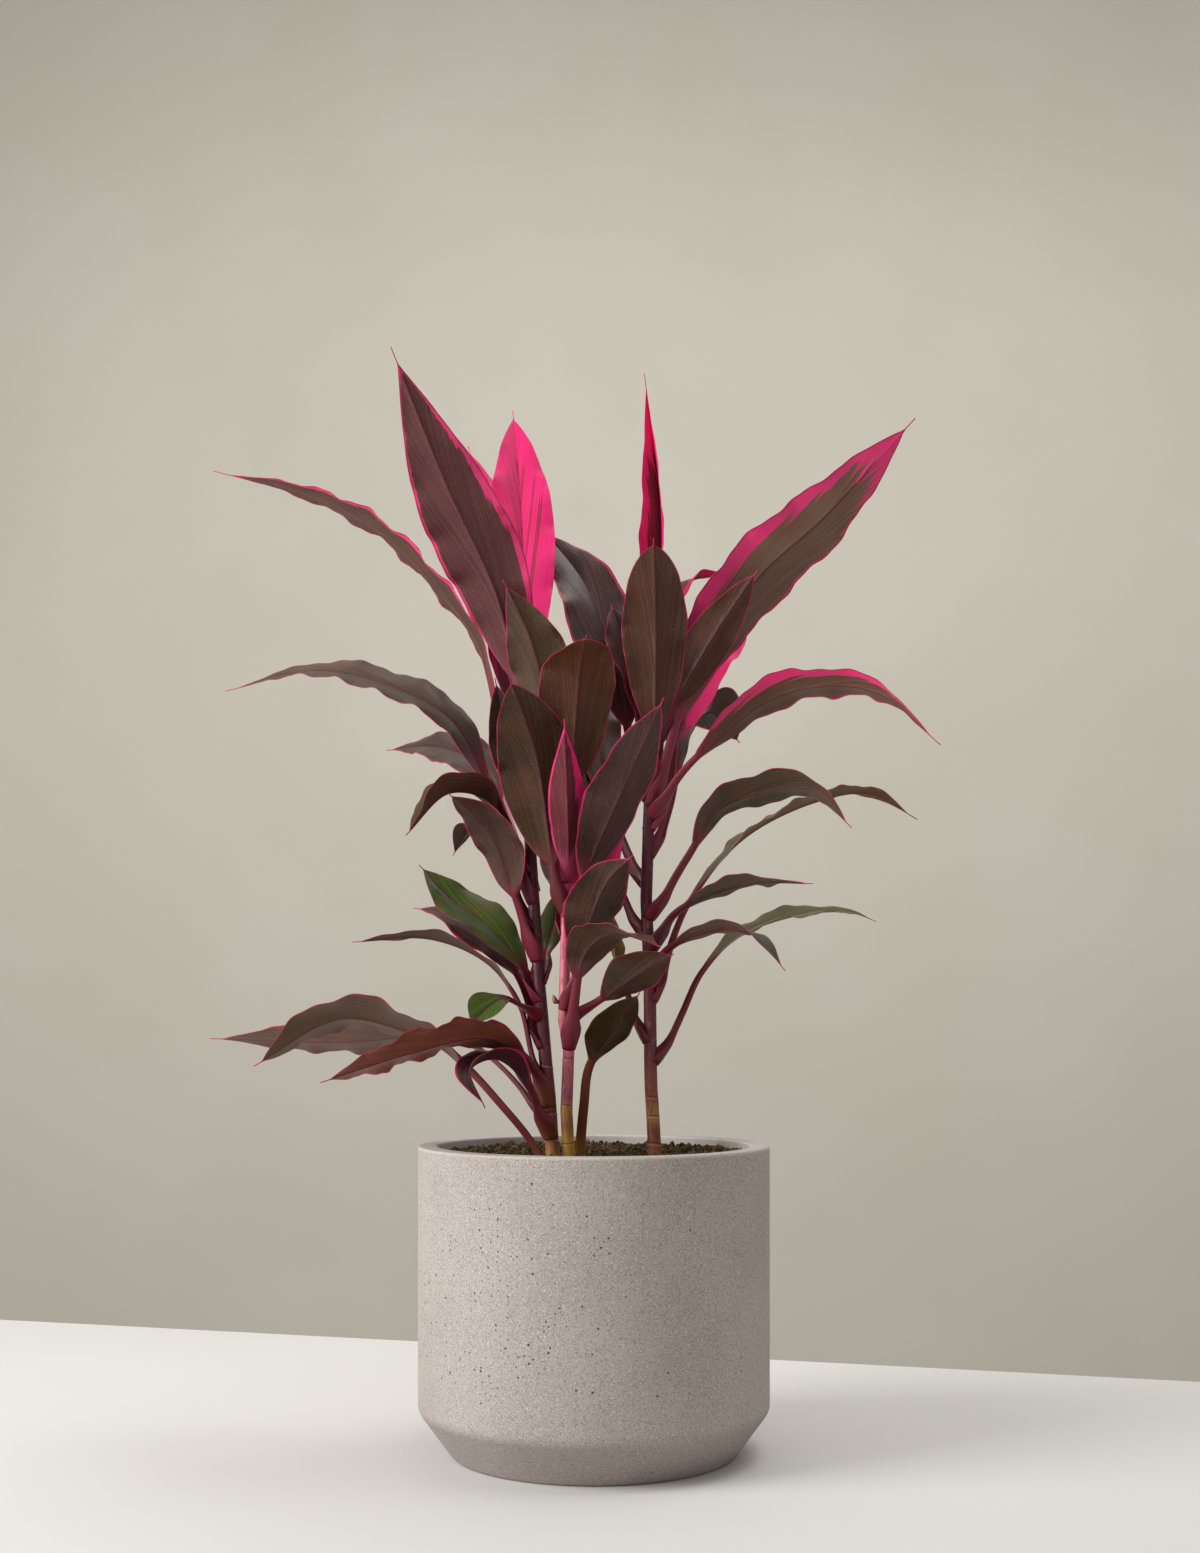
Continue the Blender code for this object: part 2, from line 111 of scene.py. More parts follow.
# Cast concrete, poured in a smooth mould, its face lightly blasted and sealed: a dull stone grey with a fine sandy
# light and dark grain, drifts of open air holes where bubbles sat against the mould, and a paler ground rim.
def cast_concrete():
    made, tree = start_material("cast_concrete_blasted")
    place = add(tree, POINT, out="Object")
    x, _, z = add(tree, PARTS, (place,), None)
    # Sand grains are 0.5 to 1 mm; drawn at 1.3 mm so that they show.
    grain = add(tree, NOISE, {"Vector": place, "Scale": 1 / (1.3 * MM), "Detail": 3.0, "Roughness": 0.7})
    fine = add(tree, NOISE, {"Vector": place, "Scale": 1 / (0.9 * MM), "Detail": 1.0})
    # The skin clouds over 60 mm where the release oil lay thick or thin.
    cloud = add(tree, NOISE, {"Vector": place, "Scale": 1 / (60 * MM), "Detail": 2.0})
    clouded = add(tree, RANGE, (cloud, 0.3, 0.7, 0.0, 1.0), **SOFT)
    base = add(tree, MIX_RGB, {0: clouded, 6: linear("A69D96"), 7: linear("AEA59E")}, **RGBA)
    sandy = add(tree, RANGE, (grain, 0.34, 0.5, 0.8, 0.0), **SOFT)
    gritty = add(tree, RANGE, (fine, 0.55, 0.70, 0.0, 0.7), **SOFT)
    # The foot's chamfer faces down under the pot's body and is painted darker and browner there: painted shade.
    foot = add(tree, RANGE, (z, (FOOT_HEIGHT - 5) * MM, (FOOT_HEIGHT + 7) * MM, 0.34, 0.0), **SOFT)
    # The rim was ground flat, so it is paler and smoother.
    rim = add(tree, RANGE, (z, (POT_HEIGHT - 2.5) * MM, (POT_HEIGHT - 0.8) * MM, 0.0, 0.5), **SOFT)
    # The inside above the soil was never blasted and stays paler.
    flat = add(tree, VECTORS, (place, (1.0, 1.0, 0.0)), **TIMES)
    reach = add(tree, VECTORS, (flat,), "Value", operation="LENGTH")
    bore = (POT_RADIUS - POT_WALL) * MM
    within = add(tree, RANGE, (reach, bore + 0.4 * MM, bore + 1.2 * MM, 0.5, 0.0), **SOFT)
    above = add(tree, RANGE, (z, 0.190, 0.200, 0.0, 1.0), **SOFT)
    inside = add(tree, MATHS, (within, above), **TIMES)
    # Air holes 0.8 to 2 mm across, one to each 3.6 mm cell at most, in drifts about 30 mm wide.
    wobble = add(tree, NOISE, {"Vector": place, "Scale": 1 / (2.5 * MM), "Detail": 1.0}, "Color")
    nudge = add(tree, VECTORS, {0: wobble, "Scale": 1.6 * MM}, operation="SCALE")
    nudged = add(tree, VECTORS, (place, nudge), **PLUS)
    cells = add(tree, CELLS, {"Vector": nudged, "Scale": 1 / (3.6 * MM)}, None)
    first, second, _ = add(tree, PARTS, (cells["Color"],), None)
    drift = add(tree, NOISE, {"Vector": place, "Scale": 1 / (30 * MM), "Detail": 3.0, "Roughness": 0.6})
    left = add(tree, RANGE, (x, -0.06, 0.05, 0.16, -0.02), **SOFT)
    low = add(tree, RANGE, (z, 0.045, 0.065, -0.4, 0.0), **SOFT)
    high = add(tree, RANGE, (z, 0.180, 0.205, 0.0, -0.4), **SOFT)
    sides = add(tree, MATHS, (drift, left), **PLUS)
    ends = add(tree, MATHS, (low, high), **PLUS)
    often = add(tree, MATHS, (sides, ends), **PLUS)
    chance = add(tree, RANGE, (often, 0.50, 0.74, 0.02, 0.66), **SOFT)
    chosen = add(tree, MATHS, (first, chance), operation="LESS_THAN")
    size = add(tree, MATHS, (second, 0.18, 0.09), **TIMES_PLUS)
    depth = add(tree, MATHS, (size, cells["Distance"]), **LESS)
    sunk = add(tree, RANGE, (depth, 0.0, 0.05, 0.0, 1.0), **SOFT)
    hole = add(tree, MATHS, (sunk, chosen), **TIMES)
    shaded = add(tree, MATHS, (hole, 0.9), **TIMES)
    layers = (
        (sandy, "7C726B"),
        (gritty, "D6CEC8"),
        # The foot colour below is painted shade on the downward-facing chamfer.
        (foot, "786C64"),
        (rim, "D2CAC4"),
        (inside, "DDD7D1"),
        (shaded, "3A312B"),
    )
    for amount, colour in layers:
        base = add(tree, MIX_RGB, {0: amount, 6: base, 7: linear(colour)}, **RGBA)
    rough = add(tree, RANGE, (grain, 0.3, 0.7, 0.80, 0.62), **SOFT)
    sand = add(tree, MATHS, (grain, 0.35), **TIMES)
    height = add(tree, MATHS, (sand, hole), **LESS)
    bump = add(tree, BUMP, {"Height": height, "Distance": 0.7 * MM, "Strength": 0.6})
    sockets = {"Base Color": base, "Roughness": rough, "Normal": bump, "IOR": 1.5, "Specular IOR Level": 0.4}
    add(tree, OUTPUT, (add(tree, SHADER, sockets),), None)
    return made


# Peat and bark crumbs, screened and loosely filled: matt, nearly black when damp, with tan bark and pale grit.
def peat_soil():
    made, tree = start_material("peat_crumb_screened")
    place = add(tree, POINT, out="Object")
    # Bark crumbs of 2 to 4 mm over peat dust of about 0.7 mm, and 9 mm stains of moss green.
    lump = add(tree, NOISE, {"Vector": place, "Scale": 1 / (4.0 * MM), "Detail": 3.0, "Roughness": 0.6})
    dust = add(tree, NOISE, {"Vector": place, "Scale": 1 / (0.7 * MM)})
    stain = add(tree, NOISE, {"Vector": place, "Scale": 1 / (9.0 * MM), "Detail": 1.0})
    bark = add(tree, RANGE, (lump, 0.38, 0.62, 0.0, 1.0), **SOFT)
    base = add(tree, MIX_RGB, {0: bark, 6: linear("33261A"), 7: linear("6C563C")}, **RGBA)
    grit = add(tree, RANGE, (dust, 0.60, 0.74, 0.0, 0.7), **SOFT)
    mossy = add(tree, RANGE, (stain, 0.52, 0.66, 0.0, 0.5), **SOFT)
    for amount, colour in ((grit, "A48C68"), (mossy, "3F3A1E")):
        base = add(tree, MIX_RGB, {0: amount, 6: base, 7: linear(colour)}, **RGBA)
    rough = add(tree, RANGE, (dust, 0.3, 0.7, 0.98, 0.85), **SOFT)
    heap = add(tree, MATHS, (lump, 1.5), **TIMES)
    height = add(tree, MATHS, (heap, dust), **PLUS)
    bump = add(tree, BUMP, {"Height": height, "Distance": 0.6 * MM, "Strength": 0.8})
    sockets = {"Base Color": base, "Roughness": rough, "Normal": bump, "IOR": 1.4, "Specular IOR Level": 0.2}
    add(tree, OUTPUT, (add(tree, SHADER, sockets),), None)
    return made


# Young cordyline cane, its skin grown smooth and ringed where leaves have dropped: a thin waxy skin over green
# and yellow wood, with corky scars, lengthwise cracks and red blotches.
def cane_skin():
    made, tree = start_material("cane_skin_ringed")
    place = add(tree, POINT, out="Object")
    tint = add(tree, ATTRIBUTE, out="Color", attribute_name="cane_tint")
    zones = add(tree, ATTRIBUTE, out="Vector", attribute_name="cane_zones")
    scar = add(tree, PARTS, (zones,))
    # Blotches 6 mm long and 2 mm wide, and lengthwise fibres 0.4 mm apart drawn at 0.8 mm.
    blotched = add(tree, STRETCH, {0: place, "Scale": (1.4, 1.4, 0.5)})
    blotch = add(tree, NOISE, {"Vector": blotched, "Scale": 1 / (3.0 * MM), "Detail": 3.0, "Roughness": 0.6})
    drawn = add(tree, STRETCH, {0: place, "Scale": (1, 1, 0.08)})
    fibre = add(tree, NOISE, {"Vector": drawn, "Scale": 1 / (0.8 * MM)})
    red = add(tree, RANGE, (blotch, 0.46, 0.66, 0.0, 0.4), **SOFT)
    corky = add(tree, RANGE, (blotch, 0.30, 0.42, 0.30, 0.0), **SOFT)
    cracked = add(tree, RANGE, (fibre, 0.52, 0.7, 0.0, 0.3), **SOFT)
    # Each dropped leaf leaves a corky ring, tan above and dark below.
    tan = add(tree, RANGE, (scar, 0.35, 0.8, 0.0, 0.7), **SOFT)
    dark = add(tree, RANGE, (scar, -0.8, -0.35, 0.6, 0.0), **SOFT)
    base = tint
    layers = ((red, "6A2230"), (corky, "C09A58"), (cracked, "3A1A18"), (tan, "C0924E"), (dark, "33161A"))
    for amount, colour in layers:
        base = add(tree, MIX_RGB, {0: amount, 6: base, 7: linear(colour)}, **RGBA)
    rough = add(tree, RANGE, (blotch, 0.3, 0.7, 0.32, 0.55), **SOFT)
    height = add(tree, MATHS, (fibre, blotch), **PLUS)
    bump = add(tree, BUMP, {"Height": height, "Distance": 0.3 * MM, "Strength": 0.5})
    sockets = {"Base Color": base, "Roughness": rough, "Normal": bump, "IOR": 1.45, "Specular IOR Level": 0.5}
    sockets.update({"Coat Weight": 0.10, "Coat Roughness": 0.3})
    add(tree, OUTPUT, (add(tree, SHADER, sockets),), None)
    return made


# Cordyline leaf, grown, with a thin natural wax: leathery, satin, ribbed by fine slanting veins that leave the
# midrib at about eight degrees, edged and flushed with hot pink while young and freckled brown when old.
def leaf_skin(name, roughness, wax, flush_colour, margin_colour, age_colour):
    made, tree = start_material(name)
    place = add(tree, POINT, out="Object")
    run = add(tree, "ShaderNodeUVMap", uv_map="vein_run")
    tint = add(tree, ATTRIBUTE, out="Color", attribute_name="leaf_tint")
    zones = add(tree, ATTRIBUTE, out="Vector", attribute_name="leaf_zones")
    form = add(tree, ATTRIBUTE, out="Vector", attribute_name="leaf_form")
    margin, flush, wither = add(tree, PARTS, (zones,), None)
    midrib, blade, under = add(tree, PARTS, (form,), None)
    # Veins come every 6.3 mm along the blade. Each leaves the midrib at one in seven and runs on to the margin, so
    # they are 0.9 mm apart across it. The streaks between them are four times as wide.
    veined = add(tree, STRETCH, {0: run, "Scale": (1, 0.12, 1)})
    veins = add(tree, NOISE, {"Vector": veined, "Scale": 1 / (6.3 * MM), "Roughness": 0.6})
    streaked = add(tree, STRETCH, {0: run, "Scale": (1, 0.10, 1)})
    streaks = add(tree, NOISE, {"Vector": streaked, "Scale": 1 / (28 * MM), "Detail": 3.0, "Roughness": 0.65})
    # Blotches of 22 mm, where the blade is greener or redder.
    cloud = add(tree, NOISE, {"Vector": place, "Scale": 1 / (22 * MM)})
    vein = add(tree, RANGE, (veins, 0.3, 0.7, 0.0, 1.0), **SOFT)
    ribbed = add(tree, MATHS, (vein, blade), **TIMES)
    dark = add(tree, MIX_RGB, {0: 1.0, 6: tint, 7: linear("D8CCC2")}, blend_type="MULTIPLY", **RGBA)
    pale = add(tree, MIX_RGB, {0: 0.05, 6: tint, 7: linear("D0AC84")}, **RGBA)
    base = add(tree, MIX_RGB, {0: ribbed, 6: dark, 7: pale}, **RGBA)
    band = add(tree, RANGE, (streaks, 0.35, 0.75, 0.0, 0.5), **SOFT)
    patch = add(tree, MATHS, (band, blade), **TIMES)
    deep = add(tree, MIX_RGB, {0: 1.0, 6: tint, 7: linear("BCAEA2")}, blend_type="MULTIPLY", **RGBA)
    base = add(tree, MIX_RGB, {0: patch, 6: base, 7: deep}, **RGBA)
    redder = add(tree, RANGE, (cloud, 0.5, 0.72, 0.0, 0.22), **SOFT)
    # Midrib, about 1.6 mm wide, darker and redder than the blade.
    near = add(tree, RANGE, (midrib, 0.5, 1.1, 0.8, 0.0), **SOFT)
    rib = add(tree, MATHS, (near, blade), **TIMES)
    # Flush: pink that breaks up along the veins, and is lightened to a paler pink along the vein ridges, a painted
    # highlight.
    ragged = add(tree, MATHS, (streaks, 1.1, -0.55), **TIMES_PLUS)
    warmth = add(tree, MATHS, (flush, ragged), **PLUS)
    flushed = add(tree, RANGE, (warmth, 0.46, 0.56, 0.0, 0.95), **SOFT)
    vein_highlight = add(tree, RANGE, (veins, 0.3, 0.7, 0.0, 0.25), **SOFT)
    pink = add(tree, MIX_RGB, {0: vein_highlight, 6: linear(flush_colour), 7: linear("F04C8C")}, **RGBA)
    # Margin line: a pink thread along the edge, broken a little.
    broken = add(tree, MATHS, (cloud, 0.6, margin), **TIMES_PLUS)
    line = add(tree, RANGE, (broken, 0.1, 0.5, 0.85, 0.0), **SOFT)
    thread = add(tree, MATHS, (line, blade), **TIMES)
    # Age: brown and yellow scorch at tips and edges, and rusty freckles of 1 mm on the blade.
    aged = add(tree, MATHS, (wither, ragged), **PLUS)
    scorch = add(tree, RANGE, (aged, 0.45, 0.7, 0.0, 1.0), **SOFT)
    speck = add(tree, NOISE, {"Vector": place, "Scale": 1 / (1.2 * MM), "Detail": 1.0})
    rusty = add(tree, RANGE, (speck, 0.64, 0.74, 0.0, 0.35), **SOFT)
    freckle = add(tree, MATHS, (rusty, blade), **TIMES)
    layers = (
        (redder, linear("7A3A2C")),
        (rib, linear("58182A")),
        (flushed, pink),
        (thread, linear(margin_colour)),
        (scorch, linear(age_colour)),
        (freckle, linear("A06A40")),
    )
    for amount, over in layers:
        base = add(tree, MIX_RGB, {0: amount, 6: base, 7: over}, **RGBA)
    # The upper face is waxier than the lower.
    worn = add(tree, RANGE, (veins, 0.3, 0.7, roughness, roughness + 0.1), **SOFT)
    rough = add(tree, MATHS, (under, 0.10, worn), **TIMES_PLUS)
    share = add(tree, MATHS, (blade, 0.8, 0.2), **TIMES_PLUS)
    height = add(tree, MATHS, (veins, share), **TIMES)
    bump = add(tree, BUMP, {"Height": height, "Distance": 0.9 * MM, "Strength": 0.6})
    sockets = {"Base Color": base, "Roughness": rough, "Normal": bump, "IOR": 1.45, "Specular IOR Level": 0.3}
    sockets.update({"Coat Weight": wax, "Coat Roughness": 0.22})
    add(tree, OUTPUT, (add(tree, SHADER, sockets),), None)
    return made


# Painted board and matt wall for the stage, mottled a little over 400 mm.
def plain_stage(name, colour, roughness):
    made, tree = start_material(name)
    place = add(tree, POINT, out="Object")
    mottle = add(tree, NOISE, {"Vector": place, "Scale": 1 / (400 * MM)})
    shade = add(tree, RANGE, (mottle, 0.3, 0.7, 0.0, 0.06), **SOFT)
    base = add(tree, MIX_RGB, {0: shade, 6: linear(colour), 7: linear("FFFFFF")}, **RGBA)
    sockets = {"Base Color": base, "Roughness": roughness, "Specular IOR Level": 0.3}
    add(tree, OUTPUT, (add(tree, SHADER, sockets),), None)
    return made


CONCRETE = cast_concrete()
SOIL = peat_soil()
CANE = cane_skin()
LEAF_DARK = leaf_skin("leaf_mature_waxed", 0.30, 0.16, "EA2E78", "B42452", "84502E")
LEAF_PINK = leaf_skin("leaf_young_flushed", 0.52, 0.0, "E6126C", "E42A74", "8A5A3A")
LEAF_OLD = leaf_skin("leaf_old_greened", 0.30, 0.10, "9A2440", "8A2A38", "B08438")


# ---- Surfaces ----
def place_mesh(name, points, faces, look=None):
    """A new mesh object in the scene, its points in metres."""
    mesh = bpy.data.meshes.new(name)
    mesh.from_pydata(points, [], faces)
    if look:
        mesh.materials.append(look)
    mesh.update()
    made = bpy.data.objects.new(name, mesh)
    bpy.context.scene.collection.objects.link(made)
    return made


def add_surface(name, points, faces, look, material_slot, replaces=()):
    """A smooth closed mesh in its place, riding on the root, standing for the CAD nodes it replaces."""
    made = place_mesh(name, (np.asarray(points) * MM).tolist(), faces, look)
    made.data.polygons.foreach_set("use_smooth", np.ones(len(made.data.polygons), bool))
    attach(made, "root")
    if replaces:
        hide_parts(*replaces)
    return made


def tube_faces(rings, count, start=0):
    """Quads between rings of equal count, and a cap at each end, each ring counter-clockwise seen from the far end."""
    row = np.arange(rings - 1)[:, None] * count
    k = np.arange(count)[None, :]
    after = (k + 1) % count
    quads = np.stack([row + k, row + after, row + count + after, row + count + k], axis=-1).reshape(-1, 4) + start
    last = start + (rings - 1) * count
    return quads.tolist() + [list(range(start, start + count))[::-1], list(range(last, last + count))]


def give_vector(mesh, name, values):
    """Three numbers at each point, for the material to read."""
    made = mesh.attributes.new(name, "FLOAT_VECTOR", "POINT")
    made.data.foreach_set("vector", values.astype(np.float32).ravel())


def give_colour(mesh, name, values):
    """A linear colour at each point, for the material to read."""
    made = mesh.attributes.new(name, "FLOAT_COLOR", "POINT")
    made.data.foreach_set("color", np.insert(values, 3, 1.0, axis=1).astype(np.float32).ravel())


def give_uv(mesh, name, values):
    """A place on the flat at each point, for the material to draw along."""
    layer = mesh.uv_layers.new(name=name)
    corners = np.empty(len(mesh.loops), np.int32)
    mesh.loops.foreach_get("vertex_index", corners)
    layer.uv.foreach_set("vector", np.ascontiguousarray(values[corners], np.float32).ravel())


def smooth(value):
    value = np.clip(value, 0.0, 1.0)
    return value * value * (3 - 2 * value)


def tints(stops, at):
    """Linear colours along a list of (place, hex colour), blended between neighbours."""
    places = [place for place, _ in stops]
    colours = np.array([linear(colour)[:3] for _, colour in stops])
    return np.stack([np.interp(at, places, colours[:, k]) for k in range(3)], axis=-1)


def rounded(corners, radii, steps=6):
    """A profile of (radius, height) with each inner corner replaced by a curve that starts that far from it."""
    corners = np.asarray(corners, float)
    t = np.linspace(0, 1, steps + 1)[:, None]
    path = [corners[:1]]
    for k in range(1, len(corners) - 1):
        before = corners[k - 1] - corners[k]
        after = corners[k + 1] - corners[k]
        a = corners[k] + before / np.linalg.norm(before) * radii[k - 1]
        b = corners[k] + after / np.linalg.norm(after) * radii[k - 1]
        path.append(a * (1 - t) ** 2 + 2 * corners[k] * t * (1 - t) + b * t**2)
    path.append(corners[-1:])
    return np.vstack(path)


def turned(profile, sides):
    """Points and faces of the solid that a profile makes about Z: each point goes round at its radius and height."""
    angles = np.arange(sides) * 2 * math.pi / sides
    inner = profile[1:-1]
    x = inner[:, 0, None] * np.cos(angles)
    y = inner[:, 0, None] * np.sin(angles)
    z = np.repeat(inner[:, 1, None], sides, axis=1)
    points = np.stack([x, y, z], axis=-1).reshape(-1, 3)
    ends = [[0, 0, profile[0, 1]], [0, 0, profile[-1, 1]]]
    faces = tube_faces(len(inner), sides)[:-2]
    k = np.arange(sides)
    after = (k + 1) % sides
    first, last = len(points), len(points) + 1
    top = (len(inner) - 1) * sides
    faces += np.stack([np.full(sides, first), after, k], axis=-1).tolist()
    faces += np.stack([top + k, top + after, np.full(sides, last)], axis=-1).tolist()
    return np.vstack([points, ends]), faces


def rows_between(path, step):
    """The same profile with long straight stretches divided, so that a surface over it can be worked."""
    lengths = np.concatenate([[0.0], np.cumsum(np.linalg.norm(np.diff(path, axis=0), axis=1))])
    extra = np.arange(0, lengths[-1], step)
    at = np.unique(np.round(np.concatenate([lengths, extra]), 3))
    at = at[np.concatenate([[True], np.diff(at) > 0.05])]
    return np.stack([np.interp(at, lengths, path[:, 0]), np.interp(at, lengths, path[:, 1])], axis=-1)


# ---- Pot ----
slope = (POT_RADIUS - FOOT_RADIUS) / FOOT_HEIGHT
inner_foot_height = FOOT_HEIGHT + POT_WALL * (math.hypot(1, slope) - 1) / slope
bore_radius = POT_RADIUS - POT_WALL
inner_foot_radius = bore_radius - slope * (inner_foot_height - POT_FLOOR)
pot_corners = [
    (0, 0),
    (FOOT_RADIUS, 0),
    (POT_RADIUS, FOOT_HEIGHT),
    (POT_RADIUS, POT_HEIGHT),
    (bore_radius, POT_HEIGHT),
    (bore_radius, inner_foot_height),
    (inner_foot_radius, POT_FLOOR),
    (0, POT_FLOOR),
]
# How far from each corner its curve starts, from the foot's edge up over the rim and down to the floor.
EDGE_CURVES = (3.0, 4.0, 1.6, 1.6, 4.0, 4.0)
DRILL = np.array([(0, -10), (DRAIN_RADIUS, -10), (DRAIN_RADIUS, 30), (0, 30)])
pot_profile = rows_between(rounded(pot_corners, EDGE_CURVES), 12.0)
pot = add_surface("pot_cast", *turned(pot_profile, 288), CONCRETE, "cast_concrete", ("pot",))
for turn in DRAIN_TURNS:
    place = (DRAIN_CIRCLE_RADIUS * math.cos(math.radians(turn)), DRAIN_CIRCLE_RADIUS * math.sin(math.radians(turn)))
    drill_points, drill_faces = turned(DRILL, 40)
    drill = place_mesh("drill", ((drill_points + (*place, 0)) * MM).tolist(), drill_faces)
    boring = pot.modifiers.new("drain", "BOOLEAN")
    boring.operation = "DIFFERENCE"
    boring.solver = "EXACT"
    boring.object = drill
    bpy.context.view_layer.update()
    bored = bpy.data.meshes.new_from_object(pot.evaluated_get(bpy.context.evaluated_depsgraph_get()))
    pot.modifiers.clear()
    pot.data = bored
    bpy.data.objects.remove(drill, do_unlink=True)
pot.data.set_sharp_from_angle(angle=math.radians(40))

# ---- Soil ----
SOIL_GAP = 0.5  # between the soil and the pot's wall
CRUMBS = 2600


def hummocks(x, y, waves, seed):
    """A rough height: a sum of sine waves of many lengths and headings, each lower as it is shorter."""
    pick = np.random.default_rng(seed)
    total = np.zeros_like(x)
    for _ in range(waves):
        length = pick.uniform(4, 40)
        turn = pick.uniform(0, 2 * math.pi)
        phase = pick.uniform(0, 2 * math.pi)
        total += length**0.7 * np.sin((x * math.cos(turn) + y * math.sin(turn)) * 2 * math.pi / length + phase)
    return total / math.sqrt(waves) / 14


def soil_height(x, y):
    """Height of the soil: lowest in the middle, rising as the square of the radius, with hummocks of 1 mm."""
    radius = np.hypot(x, y) / bore_radius
    middle = SOIL_LEVEL - 1.0
    return middle - (middle - SOIL_EDGE_LEVEL) * radius**2 + hummocks(x, y, 40, 5) * 1.1


sides = 144
angles = np.arange(sides) * 2 * math.pi / sides
soil_radius = bore_radius - SOIL_GAP
radii = np.linspace(0, 1, 60)[1:] ** 0.8 * soil_radius
top_x, top_y = radii[::-1, None] * np.cos(angles), radii[::-1, None] * np.sin(angles)
side_profile = [(inner_foot_radius - SOIL_GAP, POT_FLOOR + SOIL_GAP), (soil_radius, inner_foot_height)]
side_rings = [np.stack([r * np.cos(angles), r * np.sin(angles), np.full(sides, h)], -1) for r, h in side_profile]
top_rings = np.stack([top_x, top_y, soil_height(top_x, top_y)], axis=-1)
soil_points = np.concatenate([np.stack(side_rings), top_rings])
soil_faces = tube_faces(len(soil_points), sides)
add_surface("soil_bed", soil_points.reshape(-1, 3), soil_faces, SOIL, "potting_soil", ("soil",))


def crumb_field(count, seed):
    """Points and faces of many small crumbs, each a ball of 4 rings of 7 points, stretched and dented at random."""
    pick = np.random.default_rng(seed)
    rings, around = 4, 7
    polar = np.linspace(0.35, math.pi - 0.35, rings)[:, None]
    turn = np.arange(around)[None, :] * 2 * math.pi / around
    ball = np.stack(np.broadcast_arrays(np.sin(polar) * np.cos(turn), np.sin(polar) * np.sin(turn), -np.cos(polar)), -1)
    ball = ball.reshape(-1, 3)
    radius = (bore_radius - 3.5) * np.sqrt(pick.uniform(0, 1, count))
    heading = pick.uniform(0, 2 * math.pi, count)
    x, y = radius * np.cos(heading), radius * np.sin(heading)
    size = pick.lognormal(math.log(1.35), 0.35, count).clip(0.7, 3.2)
    stretch = pick.uniform(0.6, 1.35, (count, 1, 3)) * size[:, None, None]
    dent = pick.uniform(0.72, 1.2, (count, len(ball), 1))
    spin = pick.uniform(0, 2 * math.pi, (count, 1))
    shape = ball * stretch * dent
    turned_x = shape[..., 0] * np.cos(spin) - shape[..., 1] * np.sin(spin)
    turned_y = shape[..., 0] * np.sin(spin) + shape[..., 1] * np.cos(spin)
    height = soil_height(x, y) + size * 0.35
    points = np.stack([turned_x + x[:, None], turned_y + y[:, None], shape[..., 2] + height[:, None]], axis=-1)
    one = tube_faces(rings, around)
    faces = [[v + k * len(ball) for v in face] for k in range(count) for face in one]
    return points.reshape(-1, 3), faces


crumbs = add_surface("soil_crumbs", *crumb_field(CRUMBS, 21), SOIL, "potting_soil")
crumbs.data.polygons.foreach_set("use_smooth", np.zeros(len(crumbs.data.polygons), bool))

# ---- Canes ----
# Each cane's course above the soil: (x, y, height) in mm from the soil's level, with its radius at foot and top.
CANES = {
    "cane_right": (((45, 20, 0), (42, 21, 50), (41, 20, 125), (38.5, 18, 190), (40, 17, 245), (42, 16, 300)), 5.0, 4.0),
    "cane_centre": (
        ((-18, -4, 0), (-20, -4, 35), (-18, -5, 80), (-22, -6, 100), (-21, -6, 140), (-19, -6, 214)), 4.6, 3.4,
    ),
    "cane_left": (
        ((-30, 9, 0), (-33, 10, 45), (-36, 11, 80), (-40, 11, 125), (-44, 11, 190), (-51, 10, 290)), 5.2, 3.8,
    ),
    "ground_1": (((-10, 22, 0), (-10, 22, 1)), 0.0, 0.0),
    "ground_2": (((-38, -12, 0), (-38, -12, 1)), 0.0, 0.0),
}
# Colour of each cane by height above the soil.
CANE_TINTS = {
    "cane_right": (
        (0, "A4644C"), (20, "8A4A38"), (29, "C0944E"), (40, "96503C"), (60, "84423A"), (78, "6E2C36"),
        (120, "58202E"), (300, "521A2A"),
    ),
    "cane_centre": (
        (0, "C8983A"), (14, "D09C3C"), (24, "A8663C"), (34, "C08C40"), (44, "B4586A"), (120, "D0707E"),
        (214, "D8567E"),
    ),
    "cane_left": (
        (0, "B8883A"), (12, "A8664A"), (22, "963E4A"), (60, "6E2438"), (130, "4A1828"), (290, "561E30"),
    ),
}
CANE_ROW = 0.8
CANE_SIDES = 36
# Heights of the rings that dropped leaves left.
CANE_SCARS = {
    "cane_right": (8, 29, 43, 86, 131, 168, 205),
    "cane_centre": (10, 37, 71, 114),
    "cane_left": (12, 31, 66, 105, 150),
}


def cane_centre(cane, height):
    points = np.asarray(CANES[cane][0], float)
    return np.stack([np.interp(height, points[:, 2], points[:, axis]) for axis in (0, 1)], axis=-1)


def cane_radius(cane, height):
    points, foot, top = CANES[cane]
    return np.interp(height, [points[0][2], points[-1][2]], [foot, top])


